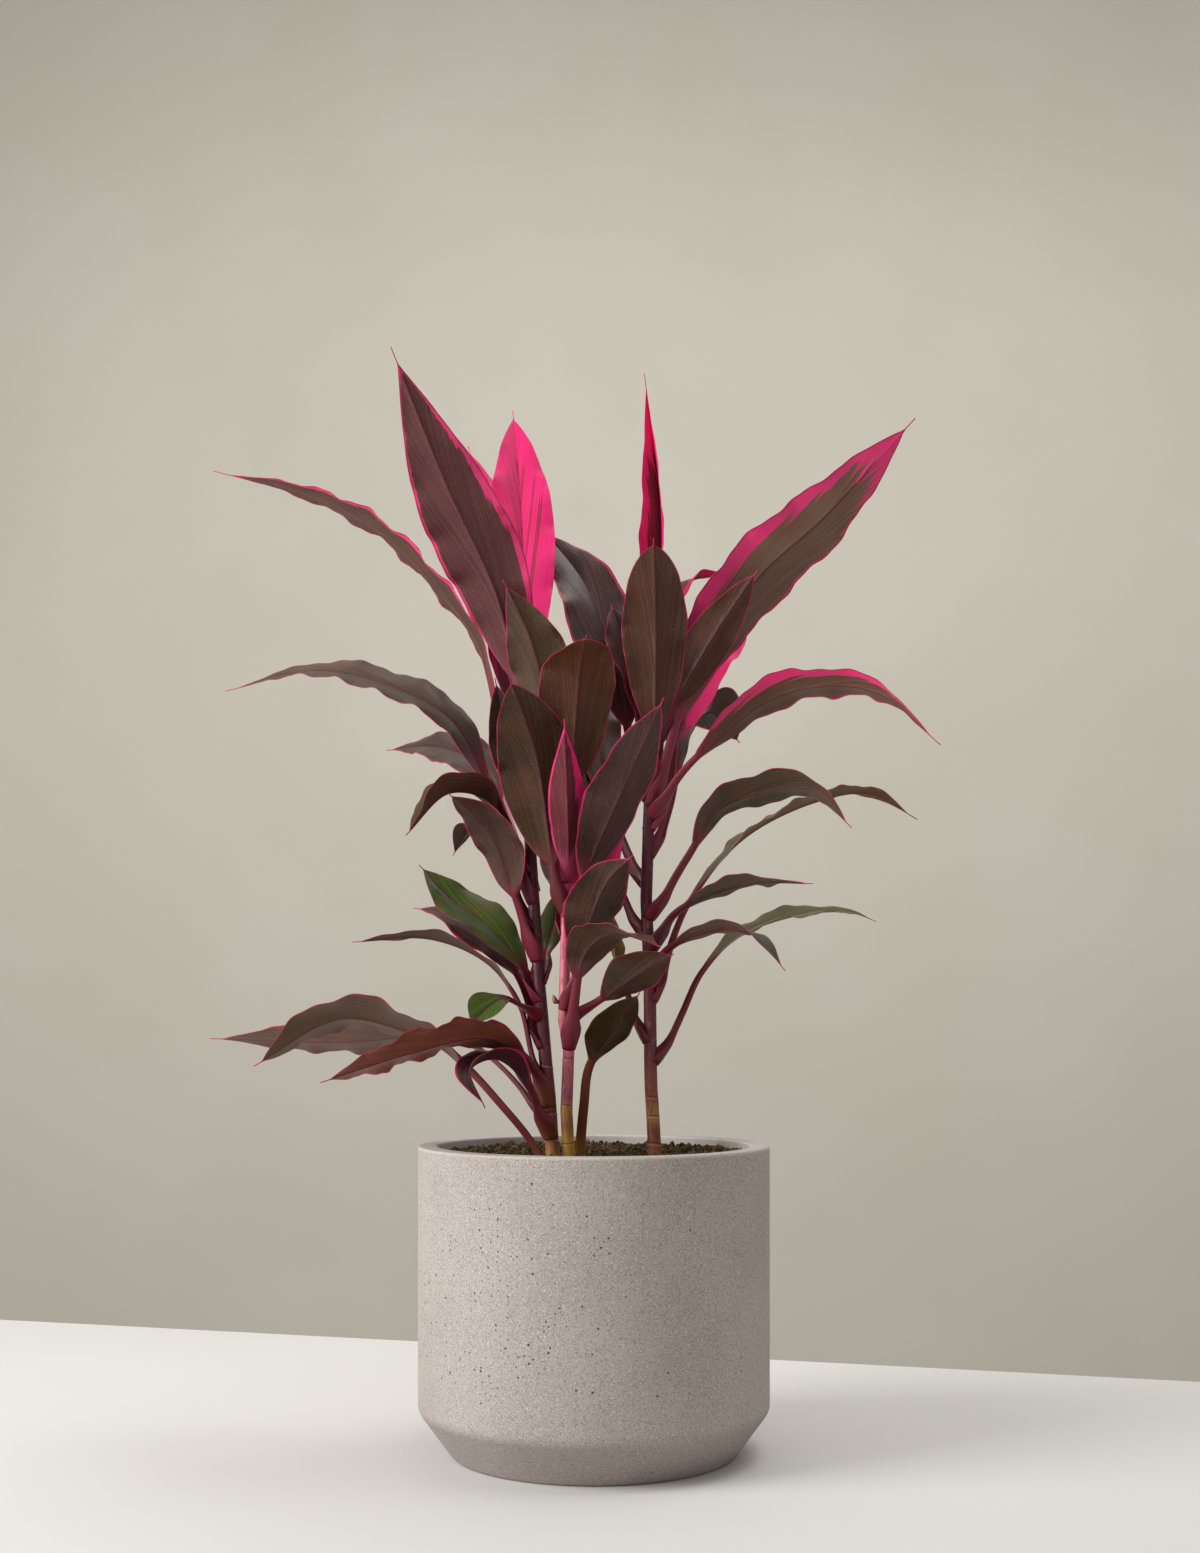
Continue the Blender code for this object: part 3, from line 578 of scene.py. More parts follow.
def add_cane(cane):
    """A cane: rings at even heights whose radius tapers, swells 6% at each scar and dips just above it, less so up
    the cane, rounds off at the top, and is a little out of round by three and five waves a turn."""
    end = CANES[cane][0][-1][2]
    heights = np.arange(-PLANTING_DEPTH, end + 0.01, CANE_ROW)
    turn = np.arange(CANE_SIDES) * 2 * math.pi / CANE_SIDES
    scars = np.array(CANE_SCARS[cane], float)
    tilt = 0.7 * np.sin(turn[None, :] + scars[:, None] * 1.3)
    away = heights[:, None, None] - scars[None, :, None] - tilt[None, :, :]
    worn = (1 - 0.75 * smooth((heights - 60) / 60))[:, None]
    ridge = np.exp(-((away / 0.7) ** 2)).sum(axis=1) * worn
    dip = np.exp(-(((away - 1.6) / 0.9) ** 2)).sum(axis=1) * worn
    round_off = 1 - 0.6 * smooth((heights - end + 6) / 6)[:, None] ** 2
    wave = 1 + 0.02 * np.sin(3 * turn + heights[:, None] / 17) + 0.012 * np.sin(5 * turn - heights[:, None] / 9)
    radius = cane_radius(cane, np.maximum(heights, 0.0))[:, None] * wave * (1 + 0.06 * ridge - 0.03 * dip) * round_off
    centre = cane_centre(cane, np.maximum(heights, 0.0))
    x = centre[:, 0, None] + radius * np.cos(turn)
    y = centre[:, 1, None] + radius * np.sin(turn)
    z = np.broadcast_to(heights[:, None] + SOIL_LEVEL, x.shape)
    points = np.stack([x, y, z], axis=-1).reshape(-1, 3)
    made = add_surface(cane + "_ringed", points, tube_faces(len(heights), CANE_SIDES), CANE, "cane_bark", (cane,))
    height_of = np.repeat(heights, CANE_SIDES)
    give_colour(made.data, "cane_tint", tints(CANE_TINTS[cane], height_of))
    zone = (ridge - dip).reshape(-1)
    give_vector(made.data, "cane_zones", np.stack([zone, zone, zone], axis=-1))


for cane_name in CANE_TINTS:
    add_cane(cane_name)

# ---- Leaves ----
# On each cane, from the top down: height of the foot, heading, course of (reach, height), stalk length, width,
# sway of the tip to its left, roll of the blade at foot and tip, fold, and where along the blade it is widest.
# Then the power of its tip's taper. Millimetres and degrees. Heights are from the soil's level, reach is from the
# cane's middle, and a heading of 0 is +X, 90 is +Y.
LEAVES = {
    "cane_right": [
        (292, 60, ((8, 335), (13, 400), (15, 480), (-10, 572)), 60, 34, 0, (0, 0), 58, 0.45, 1.15),
        (264, 80, ((16, 300), (20, 360), (24, 402), (38, 430), (56, 440)),
         130, 22, -52, (-20, -40), 10, 0.55, 1.15),
        (268, -80, ((15, 295), (31, 330), (51, 384), (72, 435)), 42, 46, -12, (0, 0), 10, 0.5, 0.6),
        (284, 150, ((9, 312), (17, 361), (33, 409)), 45, 44, 0, (-5, -20), 10, 0.5, 0.8),
        (296, -42, ((17, 321), (53, 368), (98, 415)), 36, 31, 0, (-38, -38), 10, 0.5, 0.9),
        (256, -22, ((17, 302), (38, 362), (86, 420), (132, 456), (197, 518)),
         64, 54, 0, (-45, -35), 8, 0.5, 0.85),
        (238, 38, ((20, 275), (28, 315), (50, 368), (98, 420)), 72, 56, 0, (20, 40), 12, 0.5, 0.8),
        (246, -40, ((28, 276), (63, 301), (106, 323), (151, 328), (197, 317), (242, 279)),
         60, 40, 0, (0, -40), 8, 0.4, 1.15),
        (218, 50, ((28, 262), (44, 306), (76, 336), (116, 318)), 75, 50, 0, (-25, -25), 14, 0.45, 0.8),
        (172, -34, ((22, 200), (40, 225), (57, 249), (96, 261), (135, 260), (166, 232)),
         66, 36, 0, (-10, -40), 10, 0.45, 0.9),
        (112, 34, ((21, 160), (38, 191), (87, 239), (163, 273), (219, 282), (269, 265)),
         90, 36, 0, (-15, -15), 10, 0.45, 1.15),
        (148, -48, ((24, 174), (54, 187), (106, 195), (160, 192)), 50, 32, 0, (-5, -10), 8, 0.5, 1.15),
        (124, -58, ((18, 148), (58, 162), (100, 160), (124, 134)), 45, 28, 30, (-10, -20), 8, 0.5, 1.15),
        (66, 26, ((27, 106), (43, 136), (73, 163), (132, 182), (178, 184), (200, 178)),
         85, 34, 0, (-5, 25), 10, 0.5, 1.15),
        (260, 145, ((18, 310), (33, 368), (58, 428), (98, 476)), 60, 52, 0, (-30, -45), 8, 0.5, 0.9),
        (196, 115, ((50, 247), (85, 313), (122, 395)), 75, 44, 0, (15, 5), 10, 0.5, 0.8),
        (158, 135, ((29, 199), (54, 251), (82, 311)), 60, 42, 0, (15, 5), 10, 0.5, 0.8),
        (82, 160, ((18, 120), (33, 162), (45, 204)), 55, 26, 0, (0, 0), 30, 0.5, 1.15),
    ],
    "cane_centre": [
        (198, -84, ((20, 218), (48, 256), (69, 306)), 16, 30, -8, (0, 0), 36, 0.45, 1.15),
        (209, -76, ((12, 240), (23, 291), (44, 338), (83, 361)), 60, 54, -6, (0, 5), 10, 0.45, 0.65),
        (175, -121, ((21, 222), (39, 285), (74, 336)), 38, 55, 0, (30, 50), 10, 0.5, 0.8),
        (188, 176, ((12, 216), (26, 260), (44, 306), (52, 348)), 36, 38, 0, (-60, -60), 16, 0.5, 0.9),
        (172, -52, ((24, 206), (65, 260), (110, 318)), 34, 44, 0, (-10, -10), 12, 0.5, 0.9),
        (106, -52, ((13, 124), (26, 160), (50, 196), (80, 214)), 36, 40, 0, (-10, -30), 14, 0.5, 1.15),
        (78, -76, ((14, 112), (32, 146), (64, 160), (102, 150)), 55, 38, 40, (0, -20), 10, 0.45, 0.8),
        (92, -20, ((12, 104), (32, 118), (60, 136), (82, 147)), 34, 38, 0, (-30, -45), 10, 0.5, 0.9),
        (160, 96, ((11, 186), (34, 213), (70, 245)), 26, 24, 10, (0, -15), 14, 0.5, 1.15),
        (150, 20, ((12, 184), (28, 212), (46, 244)), 26, 32, 0, (30, 40), 14, 0.5, 1.15),
        (202, -150, ((8, 250), (16, 320), (29, 370), (52, 412)), 95, 44, 0, (30, 50), 10, 0.5, 1.15),
    ],
    "cane_left": [
        (256, 162, ((19, 303), (38, 375), (68, 415), (119, 466), (183, 501), (259, 526)),
         74, 40, 0, (30, 15), 10, 0.45, 1.15),
        (276, -122, ((10, 336), (34, 400), (98, 470), (157, 543)), 72, 56, 0, (20, 34), 8, 0.45, 1.15),
        (284, 92, ((9, 350), (25, 413), (55, 498), (90, 576)), 70, 48, 10, (0, 0), 14, 0.5, 0.85),
        (246, 112, ((33, 352), (60, 421), (99, 498), (143, 562)), 80, 50, 0, (10, -5), 10, 0.5, 0.9),
        (206, 158, ((23, 242), (43, 287), (66, 324), (121, 354), (183, 369), (264, 359)),
         78, 38, 0, (-25, -35), 8, 0.45, 1.15),
        (192, 130, ((30, 247), (55, 286), (115, 313), (194, 320)), 80, 34, 0, (-35, -45), 8, 0.45, 1.15),
        (184, -148, ((18, 232), (36, 258), (70, 262), (104, 230)), 72, 40, 0, (10, 10), 30, 0.5, 1.15),
        (164, 150, ((20, 200), (36, 226), (56, 244), (74, 224)), 56, 34, 0, (0, 0), 14, 0.5, 1.15),
        (142, -140, ((14, 172), (26, 200), (45, 236), (80, 260)), 50, 38, 0, (10, 20), 10, 0.5, 0.9),
        (112, 158, ((13, 136), (37, 165), (71, 189), (100, 217)), 26, 40, 0, (-20, -40), 10, 0.5, 1.0),
        (78, 150, ((15, 116), (27, 138), (50, 160), (84, 180), (118, 186)),
         60, 36, 0, (-35, -25), 10, 0.5, 1.15),
        (50, 176, ((13, 80), (21, 112), (44, 142), (86, 160), (145, 158)),
         70, 34, 0, (0, 15), 10, 0.5, 1.15),
        (98, -145, ((18, 110), (32, 116), (46, 110), (62, 96)), 30, 28, 0, (-20, -40), 14, 0.5, 1.15),
        (24, 160, ((25, 52), (59, 80), (98, 88), (172, 84), (287, 86)),
         70, 44, 0, (20, 45), 10, 0.45, 1.15),
        (36, -132, ((12, 58), (34, 78), (66, 88), (136, 78), (214, 60)),
         48, 44, 0, (25, 50), 10, 0.5, 1.0),
        (12, -134, ((22, 50), (54, 73), (80, 65), (66, 38)), 40, 26, 0, (0, 10), 34, 0.5, 1.15),
        (126, 70, ((10, 146), (20, 166), (36, 200)), 24, 22, -6, (0, 0), 10, 0.5, 0.8),
    ],
    "ground_1": [
        (0, -40, ((4, 38), (9, 66), (32, 94), (56, 120)), 72, 38, 0, (-10, -20), 12, 0.5, 1.15),
    ],
    "ground_2": [
        (0, -171, ((32, 44), (64, 76), (98, 93), (144, 101), (203, 68)),
         85, 54, 0, (5, 40), 10, 0.45, 0.9),
    ],
}

# Looks of each leaf: upper colour, lower colour, stalk colour, width in mm of the pink margin, then the flush as
# shares of the blade (from the left edge, from the right edge, from the tip, all over), and how withered it is.
LOOKS = {
    "leaf_right": [
        ("8A2244", "C03A66", "8E2A48", 1.8, 0.40, 0.60, 0.62, 0.12, 0),
        ("5B3336", "7A5258", "8A3450", 0.7, 0.15, 0.40, 0.75, 0, 0),
        ("442921", "543023", "7E2C40", 0.7, 0, 0, 0, 0, 0.1),
        ("381A18", "43211A", "7A2A40", 0.9, 0, 0, 0, 0, 0),
        ("442921", "502F23", "7E2C40", 0.7, 0, 0, 0, 0, 0),
        ("573528", "7C5E50", "A84A60", 1.2, 0.06, 0.40, 0.46, 0, 0),
        ("9A2850", "C43A68", "C0587A", 1.6, 0.90, 0.80, 0.40, 0.34, 0),
        ("573A30", "6B4D40", "A8405E", 1.0, 0.08, 0.46, 0, 0, 0.1),
        ("402C27", "4A3631", "8A3450", 0.8, 0.08, 0, 0, 0, 0),
        ("3C3726", "4C3F30", "8A2A46", 0.5, 0, 0, 0, 0, 0.3),
        ("5E4420", "6E4A22", "8A2A46", 0.4, 0, 0, 0, 0, 0.8),
        ("423D2E", "524536", "6E2C3C", 0.4, 0, 0, 0, 0, 0.2),
        ("48362C", "5B4238", "711C2D", 0.5, 0.05, 0, 0.15, 0, 0.3),
        ("666222", "6E622A", "8A3444", 0.3, 0, 0, 0, 0, 0.6),
        ("4C3535", "482727", "8A3450", 1.1, 0.05, 0.08, 0, 0, 0),
        ("442926", "482723", "8A2A46", 0.8, 0.03, 0, 0, 0, 0),
        ("442926", "482723", "8A2A46", 0.8, 0.03, 0, 0, 0, 0),
        ("7A6A2A", "8A7A34", "7A3A3A", 0.2, 0, 0, 0, 0, 0.8),
    ],
    "leaf_centre": [
        ("74203A", "6A2036", "C8507E", 1.3, 0.45, 0.10, 0.20, 0.15, 0),
        ("4C291C", "5F351E", "942E4A", 0.8, 0, 0, 0, 0, 0.25),
        ("383118", "442912", "7A2C3C", 0.7, 0, 0, 0, 0, 0.35),
        ("403427", "362225", "8A2A46", 0.9, 0.03, 0.03, 0, 0, 0),
        ("3E2023", "4A2927", "A8466A", 1.1, 0.05, 0.05, 0, 0, 0),
        ("48342C", "503932", "8A3048", 1.1, 0.04, 0.04, 0, 0, 0),
        ("443529", "503C32", "8A2A44", 0.5, 0, 0, 0, 0, 0.2),
        ("4A332C", "513B31", "8A2A44", 0.8, 0.05, 0, 0, 0, 0.1),
        ("402C25", "3C2321", "8A2A44", 0.9, 0.03, 0.03, 0, 0, 0),
        ("C02A6A", "C02A6A", "A8466A", 1.5, 0.60, 0.60, 0.60, 0.60, 0),
        ("40290F", "46301A", "8A2A44", 0.5, 0, 0, 0, 0, 0.3),
    ],
    "leaf_left": [
        ("503734", "573A35", "9A3450", 1.2, 0.20, 0.06, 0.08, 0, 0),
        ("572828", "66333A", "843650", 1.2, 0.20, 0.09, 0.18, 0, 0),
        ("A41A4C", "A41A4C", "8A2C48", 1.4, 0.60, 0.40, 0.85, 0.56, 0),
        ("8A1C50", "8A1C50", "9A2A5A", 1.4, 0.40, 0.40, 0.30, 0.30, 0),
        ("514034", "574337", "A03A56", 0.6, 0, 0, 0, 0, 0.1),
        ("55443F", "5B4A45", "8A3450", 0.7, 0.04, 0, 0, 0, 0),
        ("483E1B", "573023", "7A3040", 0.7, 0.04, 0, 0.10, 0, 0.2),
        ("533D38", "59433E", "671A2B", 0.5, 0, 0, 0, 0, 0.2),
        ("422922", "482A23", "84263E", 0.7, 0, 0, 0, 0, 0),
        ("44601A", "4C5428", "84263E", 0.8, 0, 0.03, 0, 0, 0.1),
        ("4A1A26", "571C26", "84263E", 0.9, 0.06, 0.04, 0.20, 0, 0),
        ("4C332E", "573C35", "84263E", 0.5, 0, 0, 0.08, 0, 0.1),
        ("40621C", "48542A", "84263E", 0.4, 0, 0, 0, 0, 0.3),
        ("5B4238", "5D443A", "8A3A48", 0.6, 0.04, 0, 0.05, 0, 0.15),
        ("63463A", "86463A", "8A3A48", 0.6, 0, 0.05, 0.10, 0, 0.35),
        ("4A1A30", "4A1A30", "8A2A48", 1.2, 0.15, 0.10, 0.10, 0, 0),
        ("2F4013", "3C3E20", "84263E", 0.4, 0, 0, 0, 0, 0.2),
    ],
    "leaf_ground": [
        ("362F16", "3E3214", "8A4A34", 0.6, 0, 0, 0, 0, 0.4),
        ("5D3F33", "5B422E", "8E3A48", 0.6, 0.03, 0, 0.05, 0, 0.15),
    ],
}
PINK_LEAVES = ("right_01", "right_02", "right_07", "centre_01", "centre_10", "left_03", "left_04")
OLD_LEAVES = ("left_07", "left_10", "left_13", "left_17", "right_14", "right_18", "ground_1")
# Colour of a leaf's foot where it starts low on its cane or in the soil.
FOOT_TINT = {
    "cane_right": "7A3A3A",
    "cane_centre": "B07C40",
    "cane_left": "9A6A44",
    "ground_1": "B08A3A",
    "ground_2": "8A5A44",
}

STALK_DEPTH = 4.4  # fuller than the part's own stalk
STALK_ROWS, BLADE_ROWS = 22, 84
SHEATH_HEIGHT = 30.0  # from the foot to where the stalk no longer hugs the cane
SHEATH_TURN = 112  # degrees that it reaches round the cane to each side
SHEATH_INSET = 1.5
RUFFLE, SWELL = 0.10, 0.05  # shares of the half width
WAVE_LENGTHS = (38, 62)  # shortest and longest ruffle
VEIN_RUN = 7  # how far a vein goes along the blade for one across
# Where each side of a blade has its points, as a share of its half width: closer together at midrib and margin.
ACROSS = np.array([0.0, 0.03, 0.07, 0.13, 0.22, 0.34, 0.48, 0.62, 0.75, 0.86, 0.94, 0.985, 1.0])
ACROSS = np.concatenate([ACROSS[::-1], -ACROSS[1:]])


def spline(points):
    """Fine points of a smooth curve through points, by the centripetal Catmull-Rom rule, and the length at each."""
    points = np.asarray(points, float)
    first = 2 * points[0] - points[1]
    last = 2 * points[-1] - points[-2]
    padded = np.vstack([first, points, last])
    chords = np.linalg.norm(np.diff(padded, axis=0), axis=1) ** 0.5
    knots = np.concatenate([[0.0], np.cumsum(chords)])
    pieces = []
    for k in range(1, len(padded) - 2):
        t = np.linspace(knots[k], knots[k + 1], 40)[:, None]
        a, b, c, d = padded[k - 1 : k + 3]
        t0, t1, t2, t3 = knots[k - 1 : k + 3]
        ab = a + (b - a) * (t - t0) / (t1 - t0)
        bc = b + (c - b) * (t - t1) / (t2 - t1)
        cd = c + (d - c) * (t - t2) / (t3 - t2)
        abc = ab + (bc - ab) * (t - t0) / (t2 - t0)
        bcd = bc + (cd - bc) * (t - t1) / (t3 - t1)
        piece = abc + (bcd - abc) * (t - t1) / (t2 - t1)
        pieces.append(piece if k == 1 else piece[1:])
    fine = np.vstack(pieces)
    lengths = np.concatenate([[0.0], np.cumsum(np.linalg.norm(np.diff(fine, axis=0), axis=1))])
    return fine, lengths


def along(fine, lengths, at):
    return np.stack([np.interp(at, lengths, fine[:, axis]) for axis in range(3)], axis=-1)


def unit(vectors):
    return vectors / np.linalg.norm(vectors, axis=-1, keepdims=True)


def leaf_course(cane, row):
    """Points in mm above the soil for the leaf's middle line, from its foot on the cane to its tip."""
    foot, heading, course, sway = row[0], math.radians(row[1]), row[2], row[5]
    out = np.array([math.cos(heading), math.sin(heading), 0.0])
    left = np.array([-math.sin(heading), math.cos(heading), 0.0])
    start = cane_centre(cane, foot)
    radius = float(cane_radius(cane, foot))
    centre = np.array([start[0], start[1], 0.0])
    if radius > 0:
        points = [centre + out * (radius + LEAF_GAP + STALK_THICKNESS / 2) + (0, 0, foot)]
    else:
        points = [centre + (0, 0, foot - PLANTING_DEPTH), centre + (0, 0, foot)]
    far = course[-1][0]
    for reach, height in course:
        points.append(centre + out * reach + left * sway * (reach / far) ** 2 + (0, 0, height))
    return points, left, radius


def blade_half_width(share, width, widest, tip):
    """A lance shape: nought at the blade's foot, half the width at its widest, then in to the tip. It is a power of
    the share times a power of what is left. The last 4% is the thread that the tip is drawn out to."""
    rise = max(tip * widest / (1 - widest), 0.9)
    widest = rise / (rise + tip)
    share = np.clip(share / 0.96, 0.0, 1.0)
    top = widest**rise * (1 - widest) ** tip
    return width / 2 * share**rise * (1 - share) ** tip / top


def add_leaf(name, cane, row, look, seed):
    """One leaf, stalk and blade, as a closed shell round its middle line.

    Across the stalk the section is a gutter: round below, hollow above. At its foot the gutter thins and is bent
    round the cane as a sheath, drawn in towards the cane. Across the blade it is two wings that rise from the midrib
    by the fold, swell a little between midrib and margin, and ruffle by a slow wave and a quick one along each
    margin; the midrib is a ridge below and a groove above. Both sections blend over the first sixth of the blade.
    """
    pick = np.random.default_rng(seed)
    width, roll, fold, widest, tip_power = row[4], row[6], row[7], row[8], row[9]
    points, left, cane_size = leaf_course(cane, row)
    fine, lengths = spline(points)
    total = lengths[-1]
    stalk = row[3] + (0 if cane_size else PLANTING_DEPTH)
    on_stalk = np.linspace(0, stalk, STALK_ROWS)[:-1]
    at = np.concatenate([on_stalk, stalk + (total - stalk) * np.linspace(0, 1, BLADE_ROWS) ** 0.96])
    centre = along(fine, lengths, at)
    tangent = unit(along(fine, lengths, np.minimum(at + 1.0, total)) - along(fine, lengths, np.maximum(at - 1.0, 0.0)))
    side = unit(left - tangent * (tangent @ left)[:, None])
    over = np.cross(tangent, side)
    share = (at - stalk) / (total - stalk)
    passed = np.clip(share, 0.0, 1.0)
    turn = np.radians(roll[0] * np.clip(at / stalk, 0, 1) * (1 - passed) + roll[1] * passed)[:, None]
    wide = side * np.cos(turn) + over * np.sin(turn)
    up = over * np.cos(turn) - side * np.sin(turn)
    stalk_half = np.interp(at, [0, stalk], [STALK_BASE_WIDTH / 2, STALK_WIDTH / 2]) * (0.92 + width / 150)
    half = stalk_half * np.clip(1 - 1.3 * passed, 0, 1) + blade_half_width(share, width, widest, tip_power)
    half = np.maximum(half, TIP_WIDTH / 2)[:, None]
    blade = smooth(share * 6)[:, None]
    v = ACROSS[None, :]
    # Blade
    bend = (math.radians(fold) * np.clip(share * 4, 0, 1))[:, None]
    x_blade = half * np.cos(bend) * v
    rise = np.sin(bend) * (np.sqrt(v**2 + 0.0025) - 0.05) / (math.sqrt(1.0025) - 0.05)
    fade = (np.clip(share * 4, 0, 1) * np.clip((1 - share) * 5, 0, 1))[:, None]
    wave_length = pick.uniform(*WAVE_LENGTHS, 2)
    phase = pick.uniform(0, 2 * math.pi, 2)
    waves = [np.sin(2 * math.pi * (at - stalk) / wave_length[k] + phase[k])[:, None] for k in range(2)]
    slow = np.where(v > 0, waves[0], waves[1])
    quick = np.sin(2 * math.pi * (at - stalk) / wave_length.mean() * 2.7 + phase.sum())[:, None]
    ruffle = (slow * np.abs(v) ** 2 + 0.3 * quick * np.abs(v) ** 4) * fade * RUFFLE
    lift = half * (rise + SWELL * np.sin(math.pi * np.abs(v)) * fade + ruffle)
    thin = (0.55 - 0.25 * np.abs(v)) * (1 - 0.3 * passed[:, None])
    ridge = (1.3 - 0.9 * passed[:, None]) * np.exp(-((x_blade / 1.1) ** 2))
    groove = (0.5 - 0.3 * passed[:, None]) * np.exp(-((x_blade / 0.8) ** 2))
    over_blade = lift + thin / 2 - groove
    under_blade = lift - thin / 2 - ridge
    # Stalk
    thick = STALK_DEPTH * (1.0 if cane_size else 1.4)
    over_stalk = thick * (0.42 * v**2 - 0.12)
    under_stalk = thick * (0.16 * v**2 - 0.5 * np.sqrt(1 - v**2))
    level_over = over_stalk * (1 - blade) + over_blade * blade
    level_under = under_stalk * (1 - blade) + under_blade * blade
    # Sheath: curvature one over its distance from the cane's middle at the foot, nought above it. Neighbours stand a
    # little closer in or further out, so that they don't share a surface.
    hug = smooth(1 - at / SHEATH_HEIGHT)[:, None] if cane_size else np.zeros_like(half)
    inward = SHEATH_INSET * smooth(1 - at / 18)[:, None] * (hug > 0)
    arm = cane_size + LEAF_GAP + STALK_THICKNESS / 2 + 0.2 * (seed % 4) - inward
    bow = np.maximum(hug / arm, 1e-5)
    reach = half * (1 - hug) + arm * math.radians(SHEATH_TURN) * hug
    flat = reach * v
    x_stalk = np.sin(bow * flat) / bow
    curl = (1 - np.cos(bow * flat)) / bow
    nip = 1 - 0.45 * hug - 0.45 * smooth(1 - at / 5)[:, None] * (hug > 0)
    rings = []
    for level, order in ((level_over, 1), (level_under, -1)):
        sheet_x = (x_stalk - level * nip * np.sin(bow * flat)) * (1 - blade) + x_blade * blade
        sheet_z = inward + curl * (1 - blade) + level * nip * np.cos(bow * flat)
        sheet = wide[:, None] * sheet_x[:, ::order, None] + up[:, None] * sheet_z[:, ::order, None]
        rings.append(centre[:, None] + sheet)
    shell = np.concatenate(rings, axis=1) + (0, 0, SOIL_LEVEL)
    count = shell.shape[1]
    skin, slot = LEAF_DARK, "leaf_dark_red"
    if name.removeprefix("leaf_") in PINK_LEAVES:
        skin, slot = LEAF_PINK, "leaf_young_pink"
    elif name.removeprefix("leaf_") in OLD_LEAVES:
        skin, slot = LEAF_OLD, "leaf_old_green"
    made = add_surface(name + "_grown", shell.reshape(-1, 3), tube_faces(len(at), count), skin, slot, (name,))

    # What the material reads, at each point
    over_hex, under_hex, stalk_hex, margin, flush_left, flush_right, flush_tip, flush_all, wither = look
    both = np.concatenate([ACROSS, ACROSS[::-1]])[None, :]
    below = np.concatenate([np.zeros(len(ACROSS)), np.ones(len(ACROSS))])[None, :]
    grown = smooth(share * 7)[:, None]
    inside = half * (1 - np.abs(both))
    edge = 1 - np.abs(both)
    from_left = 1 - 0.5 * edge / max(flush_left, 0.001)
    from_right = 1 - 0.5 * edge / max(flush_right, 0.001)
    flush = np.where(both > 0, from_left, from_right)
    tip = (passed[:, None] - 1 + flush_tip) / max(flush_tip, 0.001) * 0.78 + 0.12 * np.abs(both)
    flush = np.maximum(np.maximum(flush, tip), flush_all) * grown
    taper = np.clip(share * 5, 0, 1)[:, None] * np.clip((1.02 - share) * 12, 0.7, 1)[:, None]
    flush = np.where(flush > flush_all, flush * taper + flush_all * (1 - taper), flush)
    dry = wither * np.maximum(smooth((share - 0.86) / 0.12)[:, None] * 1.1, smooth(1 - inside / 5) * 0.75) * grown
    blade_tint = np.where(below[..., None] > 0.5, np.array(linear(under_hex)[:3]), np.array(linear(over_hex)[:3]))
    foot_hex = FOOT_TINT[cane] if row[0] < 70 else stalk_hex
    stalk_tint = tints(((0, foot_hex), (22, stalk_hex), (1e3, stalk_hex)), at if cane_size else at - PLANTING_DEPTH)
    tint = stalk_tint[:, None] * (1 - grown[..., None]) + blade_tint * grown[..., None]
    ones = np.ones((len(at), count))
    zones = np.stack([(inside - margin) * ones, flush * ones, dry * ones], axis=-1)
    spread = np.abs(both) * half
    form = np.stack([spread, grown * ones, below * ones], axis=-1)
    run = np.stack([at[:, None] - VEIN_RUN * spread + 37 * (seed % 13), spread + 300 * (both < 0)], axis=-1) * MM
    give_colour(made.data, "leaf_tint", tint.reshape(-1, 3))
    give_vector(made.data, "leaf_zones", zones.reshape(-1, 3))
    give_vector(made.data, "leaf_form", form.reshape(-1, 3))
    give_uv(made.data, "vein_run", run.reshape(-1, 2))


seed = 0
for cane_name, leaf_rows in LEAVES.items():
    family = cane_name.replace("cane", "leaf") if cane_name.startswith("cane") else "leaf_ground"
    for number, leaf_row in enumerate(leaf_rows, 1):
        seed += 1
        if family == "leaf_ground":
            number = int(cane_name[-1])
        leaf_name = f"{family}_{number}" if family == "leaf_ground" else f"{family}_{number:02d}"
        add_leaf(leaf_name, cane_name, leaf_row, LOOKS[family][number - 1], seed)


def add_bud():
    """A side bud: a ball drawn out upwards, its radius falling as the height to the 1.6, with overlapping scales."""
    rise = np.linspace(0, 1, 24)
    turn = np.arange(24) * 2 * math.pi / 24
    radius = 2.3 * np.sqrt(np.clip(1 - rise**1.6, 0.004, 1)) * (0.72 + 0.28 * smooth(rise * 5))
    scale = 1 + 0.10 * np.abs(((rise[:, None] * 3 + turn[None, :] / math.pi) % 1) - 0.5)
    x = radius[:, None] * np.cos(turn) * scale
    y = radius[:, None] * np.sin(turn) * scale
    z = np.broadcast_to((rise * 6.5)[:, None], x.shape)
    lean = z * 0.35
    points = np.stack([x - lean - 27.0, y - 8.0, z + 112 + SOIL_LEVEL], axis=-1).reshape(-1, 3)
    made = add_surface("side_bud", points, tube_faces(24, 24), CANE, "cane_bark")
    give_colour(made.data, "cane_tint", tints(((0, "6A2A30"), (1, "8A5A40")), np.repeat(rise, 24)))
    give_vector(made.data, "cane_zones", np.zeros((len(points), 3)))


add_bud()

# ---- Stage ----
TABLE = plain_stage("painted_board", "DEDCD8", 0.6)
WALL = plain_stage("matt_wall", "D2CCBE", 0.9)


BOX_FACES = [(0, 3, 2, 1), (4, 5, 6, 7), (0, 1, 5, 4), (1, 2, 6, 5), (2, 3, 7, 6), (3, 0, 4, 7)]
TABLE_REACH = 2.6
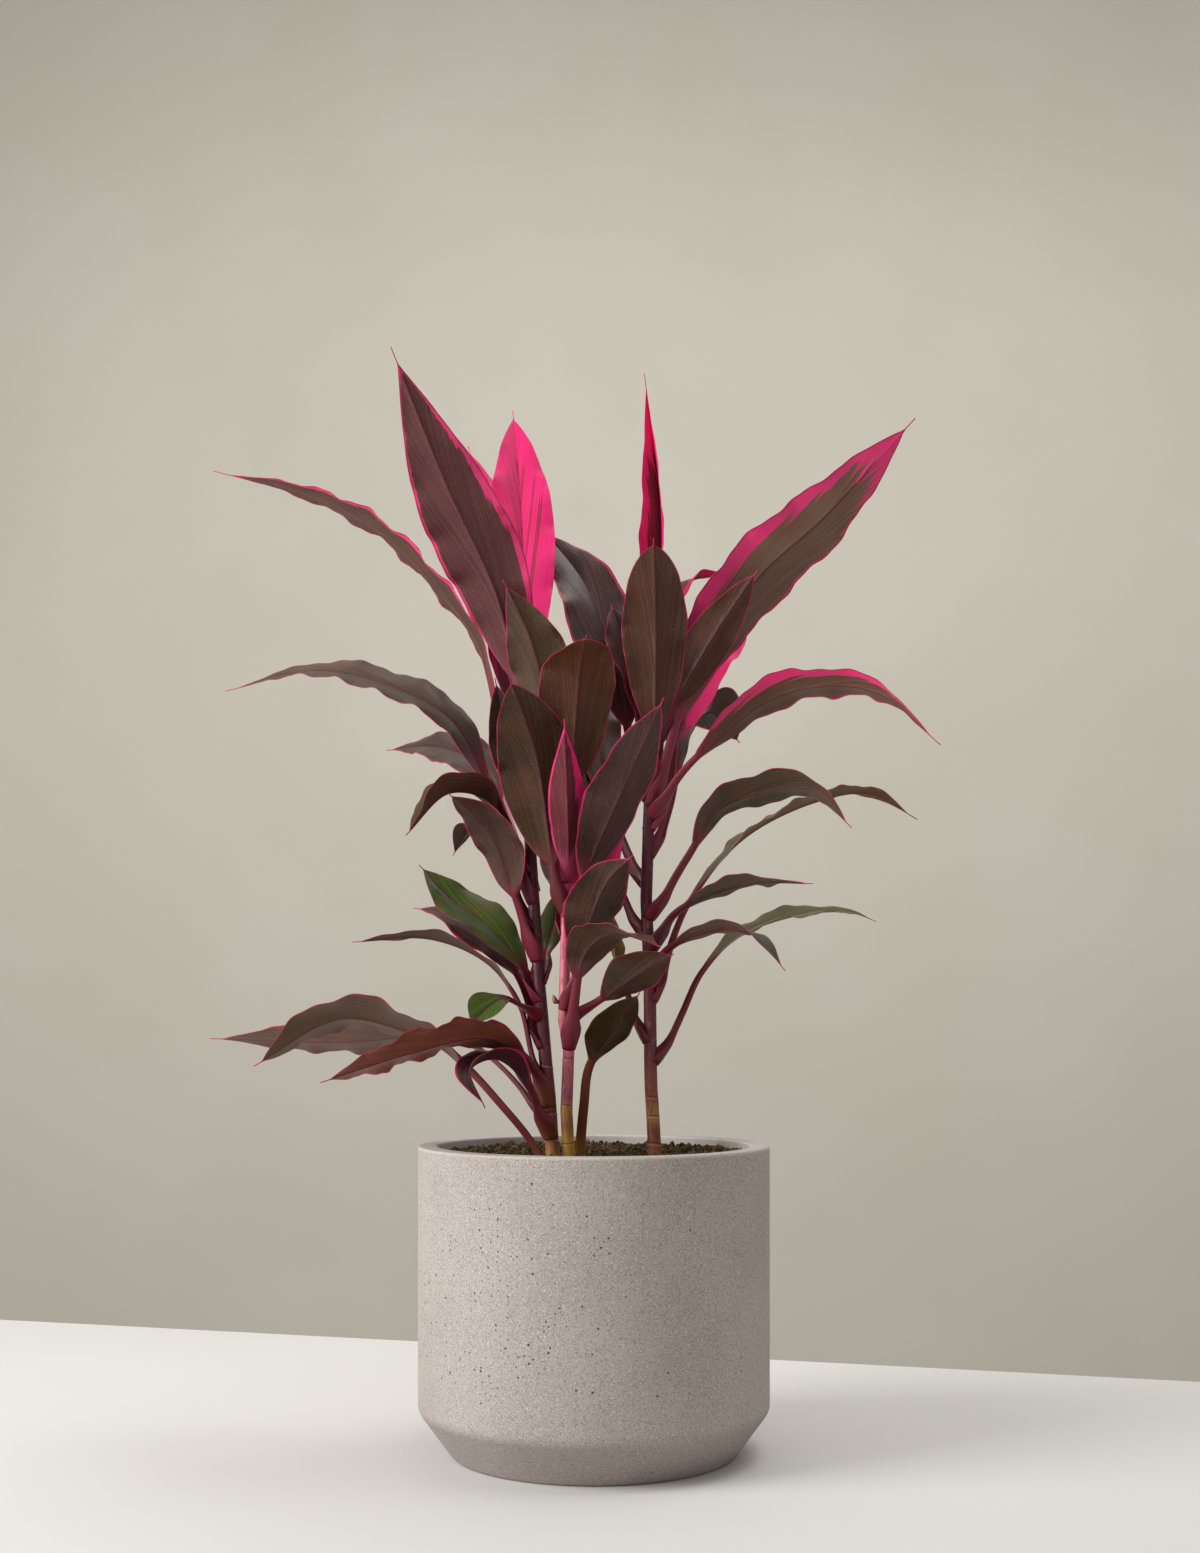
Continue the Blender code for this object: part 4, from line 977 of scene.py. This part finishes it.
# The table's back edge runs askew, through these two points.
(left_x, left_y), (right_x, right_y) = (-0.62, 0.58), (0.523, 0.252)
back_slope = (right_y - left_y) / (right_x - left_x)
table_plan = [(x, -TABLE_REACH) for x in (-TABLE_REACH, TABLE_REACH)]
table_plan += [(x, left_y + back_slope * (x - left_x)) for x in (TABLE_REACH, -TABLE_REACH)]
place_mesh("table_top", [(x, y, z) for z in (-0.04, 0.0) for x, y in table_plan], BOX_FACES, TABLE)
wall_plan = [(-5.0, 2.4), (5.0, 2.4), (5.0, 2.5), (-5.0, 2.5)]
place_mesh("back_wall", [(x, y, z) for z in (-1.5, 3.5) for x, y in wall_plan], BOX_FACES, WALL)

# ---- Light ----
world = bpy.data.worlds.new("room")
world.use_nodes = True
room_light = world.node_tree.nodes["Background"].inputs
room_light["Color"].default_value = linear("EDEAE6")
room_light["Strength"].default_value = 0.34
bpy.context.scene.world = world


def add_light(name, place, aim, size, watts):
    """A white area light, in metres and watts, turned to its aim."""
    data = bpy.data.lights.new(name, "AREA")
    data.shape = "RECTANGLE"
    data.size, data.size_y = size
    data.energy = watts
    made = bpy.data.objects.new(name, data)
    bpy.context.scene.collection.objects.link(made)
    made.location = place
    away = np.array(place, float) - np.array(aim, float)
    yaw = math.atan2(away[0], -away[1])
    pitch = math.acos(away[2] / np.linalg.norm(away))
    made.rotation_euler = (pitch, 0, yaw)


add_light("window_left", (-1.9, -0.8, 1.15), (0, 0, 0.4), (1.2, 1.5), 54)
add_light("front_fill", (0.6, -2.4, 1.5), (0, 0, 0.4), (1.6, 1.2), 5)
add_light("overhead", (0.7, 0.15, 2.3), (0.55, 0.05, 0.0), (1.2, 1.2), 17)
add_light("wall_wash", (0.5, 0.9, 2.0), (0.5, 2.4, -0.3), (3.0, 1.6), 13.5)

# ---- Camera ----
lens = bpy.data.cameras.new("camera")
lens.sensor_width = 36
lens.lens = 42.19
lens.shift_y = 0.158
lens.clip_end = 20
camera = bpy.data.objects.new("camera", lens)
bpy.context.scene.collection.objects.link(camera)
camera.location = (0.0044, -1.32, 0.311)
camera.rotation_euler = (math.radians(90), 0, 0)
bpy.context.scene.camera = camera
bpy.context.scene.view_settings.view_transform = "Standard"
